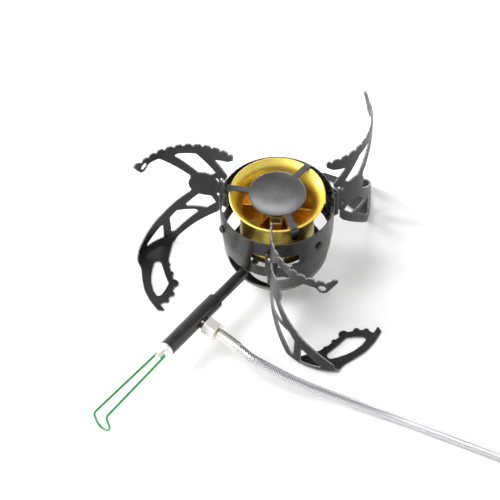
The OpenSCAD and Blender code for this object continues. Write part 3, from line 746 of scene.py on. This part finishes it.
def catmull(points, step):
    """An even, smooth curve through a list of points."""
    made = []
    for i in range(len(points) - 1):
        p0, p1 = points[max(i - 1, 0)], points[i]
        p2, p3 = points[i + 1], points[min(i + 2, len(points) - 1)]
        parts = max(2, round((p2 - p1).length / step))
        for k in range(parts):
            t = k / parts
            made.append(0.5 * (2 * p1 + (p2 - p0) * t + (2 * p0 - 5 * p1 + 4 * p2 - p3) * t * t
                               + (3 * p1 - p0 - 3 * p2 + p3) * t * t * t))
    return made + [points[-1]]


def hose_route(step):
    """The hose's centreline: run, coil and tail."""
    run = [HOSE_START, HOSE_START + 4 * PORT_WAY] + [Vector(p) for p in HOSE_POINTS]
    route = catmull(run, step)
    turns = round(radians(COIL_TURN) * COIL_R / step)
    for k in range(1, turns + 1):
        turn = COIL_TURN * k / turns
        lift = 2 * HOSE_R * smooth((turn - CLIMB_START) / (CLIMB_END - CLIMB_START))
        route.append(COIL_CENTRE + COIL_R * direction(JOIN_ANGLE + turn) + raised(HOSE_R + lift))
    tail = round(TAIL_LENGTH / step)
    route += [TAIL_START + TAIL_WAY * TAIL_LENGTH * k / tail for k in range(1, tail + 1)]
    return route


def braid(angle, along):
    """Height of the braid's wires, and how deep in the weave a point is, which the braid's material
    paints as shade.
    """
    level = BRAID_CARRIERS * angle / 360
    one, two = level + BRAID_LEAD * along, level - BRAID_LEAD * along
    over = (floor(one) + floor(two)) % 2
    across = (one if over else two) % 1
    under = (two if over else one) % 1
    hump = sin(pi * across) * (0.4 + 0.6 * sin(pi * under))
    return BRAID_RELIEF * hump - BRAID_RELIEF, (1 - hump) ** 1.9


HOSE_STEP, HOSE_SIDES = ((0.42, 44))
route = hose_route(HOSE_STEP)
hose = piece("braided_hose", tube(route, HOSE_R, HOSE_SIDES, braid), BRAID, "hose_braid",
             "hose_run", "hose_coil", "hose_tail")


# ---- curves
class Curve:
    """A plane curve through corners, softened at the corners and walked by its length."""

    def __init__(self, corners, soften=4, step=0.2):
        points = [Vector(corners[0])]
        for a, b in zip(corners, corners[1:]):
            a, b = Vector(a), Vector(b)
            parts = max(1, round((b - a).length / step))
            points += [a.lerp(b, (k + 1) / parts) for k in range(parts)]
        for _ in range(soften):
            middle = [(a + 2 * b + c) / 4 for a, b, c in zip(points, points[1:], points[2:])]
            points = [points[0]] + middle + [points[-1]]
        self.points = points
        self.lengths = [0]
        for a, b in zip(points, points[1:]):
            self.lengths.append(self.lengths[-1] + (b - a).length)
        self.length = self.lengths[-1]

    def at(self, v):
        i = min(max(bisect(self.lengths, v) - 1, 0), len(self.points) - 2)
        share = (v - self.lengths[i]) / (self.lengths[i + 1] - self.lengths[i])
        return self.points[i] + (self.points[i + 1] - self.points[i]) * share

    def at_height(self, z):
        """Length at which the curve passes a height, looked for from its upper end."""
        i = next(i for i in range(len(self.points) - 2, -1, -1) if self.points[i].y <= z)
        a, b = self.points[i], self.points[i + 1]
        return self.lengths[i] + (self.lengths[i + 1] - self.lengths[i]) * (z - a.y) / (b.y - a.y)


def arc_points(centre, radius, start, end, step=0.2):
    """Points of an arc, with its angles in degrees."""
    parts = max(2, round(abs(radians(end - start)) * radius / step))
    return [centre + radius * direction(start + (end - start) * k / parts).xy
            for k in range(parts + 1)]


def shell(curve, girth, seam, holes, thickness, edge, grid, step):
    """A round shell with holes. In its flat coordinates u runs round it along the girth, from
    the angle of its seam, and v runs up the curve of its wall."""

    def place(u, v):
        spot = curve.at(v)
        return direction(360 * u / girth + seam) * spot.x + raised(spot.y)

    def solid(u, v):
        return not any(within(hole, u, v) for hole in holes)

    outline = [(0, 0), (girth, 0), (girth, curve.length), (0, curve.length)]
    return sheet([outline] + holes, solid, place, thickness, edge, grid, step, wrap=True)


# ---- cup
CUP_WAIST = Vector((CUP_R - 0.9, 47))
CUP_LOW = Vector((CUP_R - 2.6, 31))
CUP_SLOPE = degrees(atan((CUP_WAIST.x - CUP_LOW.x) / (CUP_WAIST.y - CUP_LOW.y)))
CUP_ROUND = 36
CUP_ARC = CUP_LOW - CUP_ROUND * direction(-CUP_SLOPE).xy
CUP_GIRTH = 2 * pi * CUP_R
CUP_VENTS = ((205, 77), (338, 67), (98, 72))
CUP_VENT_Z = (22, 36.3)
CUP_SEAM = 300
HALF_WALL = CUP_WALL / 2
CUP_WINDOW_AT = 242
floor_z = CUP_BOTTOM + HALF_WALL
floor_angle = degrees(asin((CUP_ARC.y - floor_z) / (CUP_ROUND - HALF_WALL)))
CUP_CURVE = Curve([(CUP_HOLE_R, floor_z)]
                  + arc_points(CUP_ARC, CUP_ROUND - HALF_WALL, -floor_angle, -CUP_SLOPE)
                  + [(CUP_WAIST.x - HALF_WALL, CUP_WAIST.y), (CUP_R - HALF_WALL, CUP_TOP)], 40)


def cup_wall_r(z):
    """Outside radius of the cup at a height."""
    return CUP_CURVE.at(CUP_CURVE.at_height(z)).x + HALF_WALL


def cup_opening(start, corners, radius):
    """A window or vent: its start angle, then its corners as angle past that and height."""
    start = (start - CUP_SEAM) % 360
    spots = [(CUP_GIRTH * (start + angle) / 360, CUP_CURVE.at_height(z)) for angle, z in corners]
    return [p[:2] for p in rounded(spots, radius)]


window = [(0, 46), (43, 46), (43, 49), (50.5, 49), (50.5, 57.5), (0, 57.5)]
openings = [cup_opening(CUP_WINDOW_AT + turn, window, 0.9) for turn in THIRDS]
low, high = CUP_VENT_Z
openings += [cup_opening(start, [(0, low), (sweep, low), (sweep, high), (0, high)], 4.5)
             for start, sweep in CUP_VENTS]
cup = shell(CUP_CURVE, CUP_GIRTH, CUP_SEAM, openings, CUP_WALL, 0.3, 2.2, 1.1)
piece("cup_shell", cup, CUP_COAT, "black_coat", "windshield_cup")

# ---- rivets
rivet = turned([(0, 32.36), (2.2, 32.36), (2.2, 33.3), (1.4, 33.36), (1.4, 35.56), (2.75, 35.56),
                (2.75, 36.1, 0.5), (1.9, 37.2, 2), (0, 37.75)], 0.2, 40)
rivets = Shape()
for turn in THIRDS:
    rivets.join(rivet.moved(facing(RIVET_ANGLE + turn, 0, RIVET_Z)))
piece("cup_rivets_domed", rivets, BLACK_COAT, "rivet_black", "cup_rivets")

SMALL_RIVET_WALL = 35.75  # radius of the wall that the small rivet's section is drawn for
small_rivet = turned([(0, 32.8), (1.3, 32.8), (1.3, 33.45), (0.8, 33.5), (0.8, 36.7), (1.25, 36.75),
                      (1.1, 37.1, 0.5), (0, 37.3)], 0.12, 24)
small_rivets = Shape()
for hinge in HINGE_ANGLES.values():
    for side in (-2.8, 2.8):
        for z in (43.2, 57):
            small_rivets.join(small_rivet.moved(
                facing(hinge, cup_wall_r(z) - SMALL_RIVET_WALL, z, side)))
piece("bracket_rivets_domed", small_rivets, BLACK_COAT, "rivet_black", "bracket_rivets")

# ---- burner
BELL_FLARE_R = (((BELL_MOUTH_R - BELL_NECK_R) ** 2 + (BELL_TOP - BELL_FLARE_Z) ** 2)
                / (2 * (BELL_MOUTH_R - BELL_NECK_R)))
BELL_MIDDLE_R = BELL_NECK_R - BELL_WALL / 2
BELL_GIRTH = 2 * pi * BELL_MIDDLE_R
flare_centre = Vector((BELL_NECK_R + BELL_FLARE_R, BELL_FLARE_Z))
flare_mid = BELL_FLARE_R + BELL_WALL / 2
flare_end = 180 - degrees(asin((BELL_TOP - BELL_FLARE_Z) / flare_mid))
BELL_CURVE = Curve([(BELL_MIDDLE_R, BELL_FOOT_Z)]
                   + arc_points(flare_centre, flare_mid, 180, flare_end), 2)
BELL_HOLES = 12
BELL_HOLE_Z = 42.5
BELL_HOLE_R = 1.7


holes = [circle(BELL_GIRTH * (i + 0.5) / BELL_HOLES, BELL_HOLE_Z - BELL_FOOT_Z, BELL_HOLE_R, 20)
         for i in range(BELL_HOLES)]
bell = shell(BELL_CURVE, BELL_GIRTH, 0, holes, BELL_WALL, 0.25, 1.7, 1.0)
lip = []
for angle in range(0, 360, 30):
    out, up = polar(1, angle)
    lip.append((BELL_MOUTH_R - LIP_R + LIP_R * out, BELL_TOP + LIP_R * up, out, up))
bell.join(lathe(lip, 128))


def upright_plate(outline, thickness, angle, distance, height, edge, grid=3.0):
    """A plate that stands on edge, and points outward at a direction round the burner."""
    matrix = spin(angle) @ shift(distance, 0, height)
    return plate(rounded(outline, 0.5), [], lambda u, v: matrix @ Vector((u, 0, v)), thickness,
                 edge, grid, 1.5)


VANE_START = 53
BLOCK_ANGLE = 266
vanes = ring([(8.1, 49.6), (9, 49.6), (9, 63.6), (8.1, 63.6)], 0.2, 64)
vane = [(0, 0), (13.3, 0), (13.3, 12.6), (12.2, 14), (0, 14)]
for i in range(6):
    vanes.join(upright_plate(vane, 0.6, 60 * i + VANE_START, 8.5, 50, 0.2))

block = [(0, 0), (5, 0), (5, 10.8, 0.2), (3.7, 11, 0.3), (3.7, 12.1, 0.3), (5, 12.3, 0.2),
         (5, 17.5, 0.7), (0, 17.5, 0.7)]
heat_block = upright_plate(block, 7, BLOCK_ANGLE, 10, 48.2, 0.5, 1.6)

STRAP_REACH = 31.1
STRAP_CURVE = Curve([(17.2, STRAP_Z + STRAP_T / 2), (STRAP_REACH, STRAP_Z + STRAP_T / 2),
                     (STRAP_REACH, STRAP_Z - 9)], 24, 0.15)
TAB_AT = 20.6
TAB_R = 2.5


def strap(angle):
    way = direction(angle)
    aside = direction(angle + 90)
    half = STRAP_W / 2
    side = [(half, 0), (half, 12.5, 0.4), (2.8, 12.9, 0.3), (2.8, 15.3, 0.3), (half, 15.7, 0.4),
            (half, 18.2, 0.6)]
    tab = [(x, TAB_AT + y) for x, y in (polar(TAB_R, a) for a in range(0, 181, 15))]
    outline = rounded(side + tab + [(-p[0], *p[1:]) for p in reversed(side)], 0.2)

    def place(u, v):
        spot = STRAP_CURVE.at(v)
        return way * spot.x + aside * u + raised(spot.y)

    return plate(outline, [], place, STRAP_T, 0.22, 1.2, 0.7)


def spreader():
    """Dished disc: its hollow deepens smoothly from the rim to the middle."""
    rim = SPREADER_R - 0.7
    radii = [rim * k / 24 for k in range(24)]

    def hollow(r):
        return -1.1 + 1.9 * (r / rim) ** 3

    dish = [(r, hollow(r) - 0.8) for r in radii]
    dish += [(SPREADER_R, 0.12, 0.2), (SPREADER_R, 0.72, 0.2), (rim, 0.8, 0.3)]
    dish += [(r, hollow(r)) for r in reversed(radii)]
    return turned([(p[0], STRAP_Z + p[1], *p[2:]) for p in dish], 0.35, 96)


straps = Shape()
for angle in STRAP_ANGLES:
    straps.join(strap(angle))

piece("bell_shell", bell, BELL_BRASS, "brass_bell", "burner_bell")
piece("vane_ring", vanes, VANE_BRASS, "brass_vane", "vane_insert")
piece("flame_block", heat_block, BRIGHT_BRASS, "brass_bright", "heat_block")
piece("spreader_disc", spreader(), SPREADER_STEEL, "spreader_steel", "flame_spreader")
piece("spreader_straps", straps, STRAP_STEEL, "spreader_steel", "flame_spreader")

# ---- legs
LEG_TOP = 90
TOOTH_FIRST = 53.5
TOOTH_PITCH = 8.6
TOOTH_COUNT = 11
TOOTH_DEPTH = 1.7
TOOTH_GAP = ((1.2, 0), (0.45, TOOTH_DEPTH), (-0.45, TOOTH_DEPTH), (-1.2, 0))
BEND_ENDS = ((99.8, 149.5), (108.7, 156))
# The leg's edge: angle round the arc, height, and the radius of the corner where it has its own.
# It goes down the hinge's side, along the foot's bend and back up to the pot support's end.
LEG_EDGE = [
    (49.6, 90, 0.8), (48.4, 88), (49, 84.8), (55, 81), (68.4, 78, 1), (55, 66.9), (57, 63, 0.5),
    (62.5, 62.8, 0.6), (62.5, 59.55, 0.4), (60.2, 59.55, 0), (60.2, 40.45, 0),
    (62.5, 40.45, 0.4), (62.5, 32.6), (65.9, 28.5), (74.2, 22.6, 4), (86.5, 14, 4),
    (96.3, 6.8, 4), (BEND_ENDS[0][0], BEND_Z, 0),
    (BEND_ENDS[0][1], BEND_Z, 0), (148, 8.5, 3), (140.5, 13.8, 4), (134, 18.2, 5),
    (127, 22.6, 5), (117, 28.2, 5), (103, 37.3, 4), (90, 45.3, 4), (90.7, 59.8, 3),
    (106.2, 71.8, 5), (120, 82.5, 3), (131, 82.6), (134.5, 79.2), (138.5, 79), (141.5, 80.4),
    (150.8, 90.6, 1), (149.5, 92.6, 1), (145.5, 92.6, 1), (142.5, 90, 0.8)]
LEG_WINDOWS = [
    [(105, 80.6), (102, 82), (85, 81), (67, 66), (72, 62.6), (77.9, 63.6), (83.5, 62.8)],
    [(67.5, 61.3), (64.4, 60.6), (64, 57.2), (65.6, 56.3)],
    [(67.5, 45.6), (63.8, 48.4), (63.8, 43.6)],
    [(95.4, 32.2), (83.5, 42.4), (71.6, 42.4), (67.2, 37.4), (76.2, 30), (94, 30.2)],
    [(110.5, 21.9), (104, 27.1), (86.5, 27.1), (84.1, 25.3), (106.4, 6.9), (109.4, 7.6)],
    [(117.6, 18), (117, 4.3), (138.8, 4.9)]]
HUB = (77.9, 52.5)
HUB_R = 10.3
TIP_HOLE = (136.8, 83.4)
TIP_HOLE_R = 2.3
LEG_B_SLACK = 3  # degrees that leg b stands further open than the others
# Points of the foot, about the centre of the leg's arc.
FOOT_EDGE = [
    (-12, 38), (-33.4, 34), (-34, 17, 0), (-32.4, 12, 4), (-31.5, 2.5, 4), (-30.2, -5, 6),
    (-26.8, -13.2, 6), (-21.6, -21.3, 0.8), (-17.6, -21.6, 0.6), (-17.2, -20.6, 0.4),
    (-20.2, -16.4, 1), (-16.4, -14.5, 0.5), (-13.4, -9.5), (-11.3, -3), (-12.3, 6),
    (-14.3, 13.5), (-15, 20), (-13.6, 28, 4), (-12.4, 34.2, 2)]
FOOT_BUMPS = [(-16.3, -13.3, 1.9), (-13.2, -8, 2.2), (-11.6, 0.5, 3.1), (-13.6, 8.3, 1.9),
              (-15.6, 15.6, 1.8)]
FOOT_HOLE = [
    (-24, 17.6), (-21.6, 18.4), (-19.6, 17), (-17, 6.5), (-14.9, 0.5), (-17, -4.8), (-19.8, -9.5),
    (-22.2, -9.6), (-24.4, -5.4), (-25.8, 1.2), (-26, 6.5), (-25.2, 12.6)]


def leg_u(angle):
    return LEG_R * radians(angle)


def leg_place(u, v):
    """u runs round the leg's arc, v up the wall. Below the bend, v runs in along the foot."""
    out = direction(degrees(u / LEG_R))
    if v >= BEND_Z:
        return ARC_CENTRE + out * LEG_R + raised(v)
    down = BEND_Z - v
    if down < BEND_LENGTH:
        turn = down / BEND_MID
        return (ARC_CENTRE + out * (BEND_R + BEND_MID * cos(turn))
                + raised(BEND_Z - BEND_MID * sin(turn)))
    return ARC_CENTRE + out * (BEND_R - down + BEND_LENGTH) + raised(LEG_T / 2)


def foot_flat(x, y):
    """A point of the foot, about the centre of the leg's arc, in the sheet's coordinates."""
    angle = degrees(atan2(y, x)) % 360
    return leg_u(angle), BEND_Z - BEND_LENGTH - BEND_R + hypot(x, y)


def leg_shape():
    """One leg cut from a single sheet, rolled, with its foot folded in and a rolled barrel."""

    def flat(corners):
        return [(leg_u(p[0]), *p[1:]) for p in corners]

    def on_foot(points):
        return [foot_flat(*p) for p in points]

    teeth = []
    for i in range(TOOTH_COUNT - 1, -1, -1):
        u = leg_u(TOOTH_FIRST + TOOTH_PITCH * i)
        teeth += [(u + x, LEG_TOP - depth, 0.3 if depth else 0.4) for x, depth in TOOTH_GAP]
    wall = [p[:2] for p in rounded(flat(LEG_EDGE) + teeth, 1.6)]
    hub = circle(leg_u(HUB[0]), HUB[1], HUB_R, 56)
    windows = [[p[:2] for p in rounded(flat(window), 1.1)] for window in LEG_WINDOWS]
    tip = circle(leg_u(TIP_HOLE[0]), TIP_HOLE[1], TIP_HOLE_R, 24)
    bend_foot = BEND_Z - BEND_LENGTH
    (right, left), (foot_right, foot_left) = BEND_ENDS
    bend = flat([(right, BEND_Z), (foot_right, bend_foot), (foot_left, bend_foot), (left, BEND_Z)])
    foot = on_foot(densified(rounded(FOOT_EDGE, 1.2), 1.0))
    hole = on_foot(densified(rounded(FOOT_HOLE, 2), 1.0))
    bumps = [on_foot(circle(x, y, r, 20)) for x, y, r in FOOT_BUMPS]

    def solid(u, v):
        if v > BEND_Z:
            if within(hub, u, v):
                return True
            open_here = any(within(w, u, v) for w in [tip] + windows)
            return within(wall, u, v) and not open_here
        if v > bend_foot:
            return within(bend, u, v) and not within(windows[-1], u, v)
        return any(within(c, u, v) for c in [foot] + bumps) and not within(hole, u, v)

    contours = [wall, hub, tip, bend, foot, hole] + windows + bumps
    made = sheet(contours, solid, leg_place, LEG_T, 0.4, 2.0, 0.9)
    barrel = ring([(1.1, 0), (BARREL_R, 0), (BARREL_R, 19.4), (1.1, 19.4)], 0.3, 40)
    return made.join(barrel.moved(Matrix.Translation(HINGE + raised(BARREL_Z[0]))))


def bracket_shape():
    """Bracket that lies against the cup, with an ear above and below the leg's barrel."""
    low, high = EAR_ENDS

    def back(u, v):
        return Vector((cup_wall_r(v) + 0.55, -u, v))

    outline = rounded([(-4, low), (4, low), (4, high), (-4, high)], 0.9)
    made = plate(outline, [], back, 1, 0.25, 2.5, 1.2)
    for z in (low + EAR_T / 2, high - EAR_T / 2):
        start = cup_wall_r(z) + 0.5
        ear = [(start, -3.2, 0.2), (start + 1, -2.3, 0.5)]
        ear += [(LEG_R + x, y) for x, y in (polar(EAR_R, a) for a in range(-90, 91, 15))]
        ear += [(start + 1, 2.3, 0.5), (start, 3.2, 0.2)]
        made.join(plate(rounded(ear, 0.2), [circle(LEG_R, 0, 1.05, 20)],
                        lambda u, v, z=z: Vector((u, v, z)), EAR_T, 0.3, 2, 0.8))
    return made


low, high = EAR_ENDS
pin = turned([(0, low - 0.85), (1.2, low - 0.8, 0.4), (1.75, low - 0.4, 0.3), (1.75, low), (1, low),
              (1, high), (1.75, high), (1.75, high + 0.4, 0.3), (1.2, high + 0.8, 0.4),
              (0, high + 0.85)], 0.12, 32).moved(shift(LEG_R))
leg_a, bracket = leg_shape(), bracket_shape()
for letter, hinge in HINGE_ANGLES.items():
    slack = spin(-LEG_B_SLACK if letter == "b" else 0)
    swung = (spin(hinge - HINGE_ANGLES["a"]) @ Matrix.Translation(HINGE) @ slack
             @ Matrix.Translation(-HINGE))
    piece("leg_sheet_" + letter, leg_a.moved(swung), LEG_COAT, "leg_coat", "leg_" + letter,
          body="leg_%s_sheet" % letter)
    piece("bracket_" + letter, bracket.moved(spin(hinge)), BLACK_COAT, "bracket_black",
          "hinge_bracket_" + letter)
    piece("pin_" + letter, pin.moved(spin(hinge)), PIN_STEEL, "pin_steel", "hinge_pin_" + letter)

# ---- fuel line and valve
VALVE_LENGTH = VALVE_END - VALVE_START
SLEEVE_LENGTH = VALVE_START - SLEEVE_START
LINE_BORE_R = 2.25
CHAMBER_R = 3.2
CHAMBER_START = VALVE_LENGTH - 19.2
GLAND_DEPTH = 3.2
PORT_BORE_R = 1.2

sleeve = ring([(LINE_BORE_R, 0), (SLEEVE_R, 0), (SLEEVE_R, SLEEVE_LENGTH),
               (LINE_BORE_R, SLEEVE_LENGTH)], 0.35)
piece("line_tube", sleeve.moved(on_line(SLEEVE_START)), SLEEVE_COAT, "sleeve_black",
      "line_sleeve")

body = ring([(LINE_BORE_R, 0, 0.1), (VALVE_R - 1.1, 0, 0.4), (VALVE_R, 1.1, 0.5),
             (VALVE_R, VALVE_LENGTH - 0.25), (4.3, VALVE_LENGTH - 0.05),
             (4.25, VALVE_LENGTH - 3.1, 0.1), (CHAMBER_R, VALVE_LENGTH - GLAND_DEPTH, 0.1),
             (CHAMBER_R, CHAMBER_START), (LINE_BORE_R, CHAMBER_START - 1)], 0.25)
piece("valve_barrel", body.moved(on_line(VALVE_START)), VALVE_COAT, "valve_black", "valve_body")

nipple = ring([(PORT_BORE_R, 2.2, 0.1), (2.6, 2.2, 0.2), (2.6, 4), (4, 4.2), (4, 5.9),
               (3.4, 6.3), (3.4, 12.8), (PORT_BORE_R, 12.8)], 0.25, 48)
piece("port_nipple", nipple.moved(on_port(0)), VALVE_COAT, "valve_black", "hose_port")

gland = ring([(2.35, 0), (4.18, 0), (4.18, 3.25, 0.1), (4.8, 3.3), (4.8, 4.35), (4.35, 4.8),
              (3.3, 4.8, 0.1), (3.2, 4.45, 0.1), (2.35, 4.45)], 0.18)
piece("gland_collar", gland.moved(on_line(VALVE_END - GLAND_DEPTH)), TURNED_NICKEL,
      "gland_metal", "gland_ring")

collar = ring([(PORT_BORE_R, 0), (2.35, 0), (2.35, 2.18, 0.05), (3.1, 2.2), (3.1, 2.7),
               (2.75, 2.8, 0.1), (2.75, 3.05, 0.1), (3.0, 3.15), (3.0, 3.38),
               (PORT_BORE_R, 3.38)], 0.1, 64)
piece("nut_washer", collar.moved(on_port(NUT_START + COLLAR_INSET)), COLLAR_METAL,
      "collar_metal", "nut_collar")


def crimped(angle, r):
    """Eight soft flats pressed into a ferrule."""
    return r if r < 3 else r - 0.14 * cos(radians(4 * angle)) ** 4


ferrule = rounded([(PORT_BORE_R, 0), (3.3, 0), (FERRULE_R, 0.35, 0.3), (FERRULE_R, 1.6),
                   (3.45, 1.75), (3.45, 1.95), (FERRULE_R, 2.1), (FERRULE_R, 14.1),
                   (3.45, 14.25), (3.45, 14.45), (FERRULE_R, 14.6), (FERRULE_R, 15.6, 0.3),
                   (3.2, FERRULE_LENGTH), (PORT_BORE_R, FERRULE_LENGTH)], 0.15)
piece("hose_crimp", lathe(ferrule, 96, ripple=crimped).moved(on_port(FERRULE_START)),
      FERRULE_NICKEL, "ferrule_metal", "hose_ferrule")

# ---- key
WIRE_R = 0.8
KEY_ROLL = 20
KEY_LENGTH = 59
KEY_WIDTH = 10.4
KEY_HOOK = 12
NECK_Y = 2.4
NECK_BEND = 1
HOOK_BEND = 2
PIVOT_AT = VALVE_END + 6
SPLAY = atan((KEY_WIDTH / 2 - NECK_Y - NECK_BEND) / KEY_LENGTH)
KEY_LEG = (KEY_LENGTH - HOOK_BEND - NECK_BEND) / cos(SPLAY)


def key_side():
    """One side of the wire, from its end in the spindle to the bottom of the turned-down end."""
    made = [Vector((0, 0.4, 0)), Vector((0, 1.4, 0)), Vector((0, NECK_Y, 0))]
    centre = Vector((NECK_BEND, NECK_Y, 0))
    for k in range(1, 9):
        made.append(centre + NECK_BEND * direction(180 - (90 - degrees(SPLAY)) * k / 8))
    along = Vector((cos(SPLAY), sin(SPLAY), 0))
    start = made[-1]
    made += [start + along * KEY_LEG * k / 24 for k in range(1, 25)]
    bend = made[-1] - raised(HOOK_BEND)
    for k in range(1, 9):
        out, up = polar(1, 90 - 90 * k / 8)
        made.append(bend + HOOK_BEND * (along * out + raised(up)))
    drop = KEY_HOOK - HOOK_BEND - made[-1].y
    made += [made[-1] - raised(drop * k / 4) for k in range(1, 5)]
    return made


side = key_side()
end = side[-1]
arc = [polar(end.y, angle) for angle in range(10, 171, 10)]
around = [Vector((end.x, y, end.z - z)) for y, z in arc]
path = side + around + [Vector((p.x, -p.y, p.z)) for p in reversed(side)]
pivot = spin(VALVE_ANGLE) @ shift(PIVOT_AT, 0, LINE_Z) @ spin(KEY_ROLL, "X")
piece("key_wire", tube(path, WIRE_R).moved(pivot), KEY_GREEN, "key_green", "control_key",
      body="key")

# ---- CAD nodes that stay
for material, nodes in (
        (BLACK_CAD, ["burner_support"]), (TIE_RUBBER, ["coil_tie"]),
        (PLAIN_BRASS, ["mixing_tube", "jet_block", "jet_nozzle", "depressor_pin"]),
        (PLAIN_STEEL, ["fuel_line", "connector_body"]), (GRIP_PLASTIC, ["connector_grip"]),
        (SEAL_RUBBER, ["spindle_seal", "connector_seal"]),
        (NICKEL, ["valve_spindle", "hose_nut", "end_ferrule"])):
    for node in nodes:
        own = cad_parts[node].data.materials
        own.clear()
        own.append(material)


# ---- stage and light
def area_light(name, place, size, power):
    """A soft light, placed in metres, that points at the stove."""
    data = bpy.data.lights.new(name, "AREA")
    data.shape = "RECTANGLE"
    data.size, data.size_y = size
    data.energy = power
    made = bpy.data.objects.new(name, data)
    bpy.context.scene.collection.objects.link(made)
    made.location = Vector(place)
    made.rotation_mode = "QUATERNION"
    made.rotation_quaternion = (raised(0.04) - made.location).to_track_quat("-Z", "Y")


FLOOR = 3  # half the floor's side, in metres


def studio():
    """A pale floor, a world that is darker towards its top, and three soft lights."""
    mesh = bpy.data.meshes.new("floor")
    corners = [(-FLOOR, -FLOOR, 0), (FLOOR, -FLOOR, 0), (FLOOR, FLOOR, 0), (-FLOOR, FLOOR, 0)]
    mesh.from_pydata(corners, [], [(0, 1, 2, 3)])
    ground = bpy.data.objects.new("floor", mesh)
    bpy.context.scene.collection.objects.link(ground)
    pale, tree, shader = new_material("floor_pale", Roughness=0.9, Specular_IOR_Level=0.1)
    fine = noise(tree, mapped(tree, grey(0.02)), 1, 3)
    tree.links.new(mixed(tree, fine, grey(0.93), grey(0.97)), shader.inputs["Base Color"])
    mesh.materials.append(pale)
    ground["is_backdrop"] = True
    world = bpy.data.worlds.new("studio")
    bpy.context.scene.world = world
    world.use_nodes = True
    tree = world.node_tree
    where = add(tree, "TexCoord")
    split = add(tree, "SeparateXYZ")
    tree.links.new(where.outputs["Generated"], split.inputs[0])
    ramp = add(tree, "ValToRGB")
    tones = ramp.color_ramp.elements
    tones[0].position, tones[0].color = 0.0, (0.95, 0.95, 0.96, 1)
    tones[1].position, tones[1].color = 1.0, (0.42, 0.42, 0.42, 1)
    for position, tone in ((0.3, 1.0), (0.55, 0.75), (0.8, 0.38)):
        tones.new(position).color = (tone, tone, tone, 1)
    tree.links.new(split.outputs["Z"], ramp.inputs["Fac"])
    tree.links.new(ramp.outputs["Color"], tree.nodes["Background"].inputs["Color"])
    tree.nodes["Background"].inputs["Strength"].default_value = 1.12
    area_light("key", (-0.5, -0.25, 0.9), (0.35, 0.5), 6.5)
    area_light("left", (-0.95, 0.3, 0.45), (0.2, 0.7), 8)
    area_light("rear", (0.1, 0.9, 0.7), (0.6, 0.2), 3.2)
    bpy.context.scene.view_settings.view_transform = "Standard"


studio()
low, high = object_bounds()
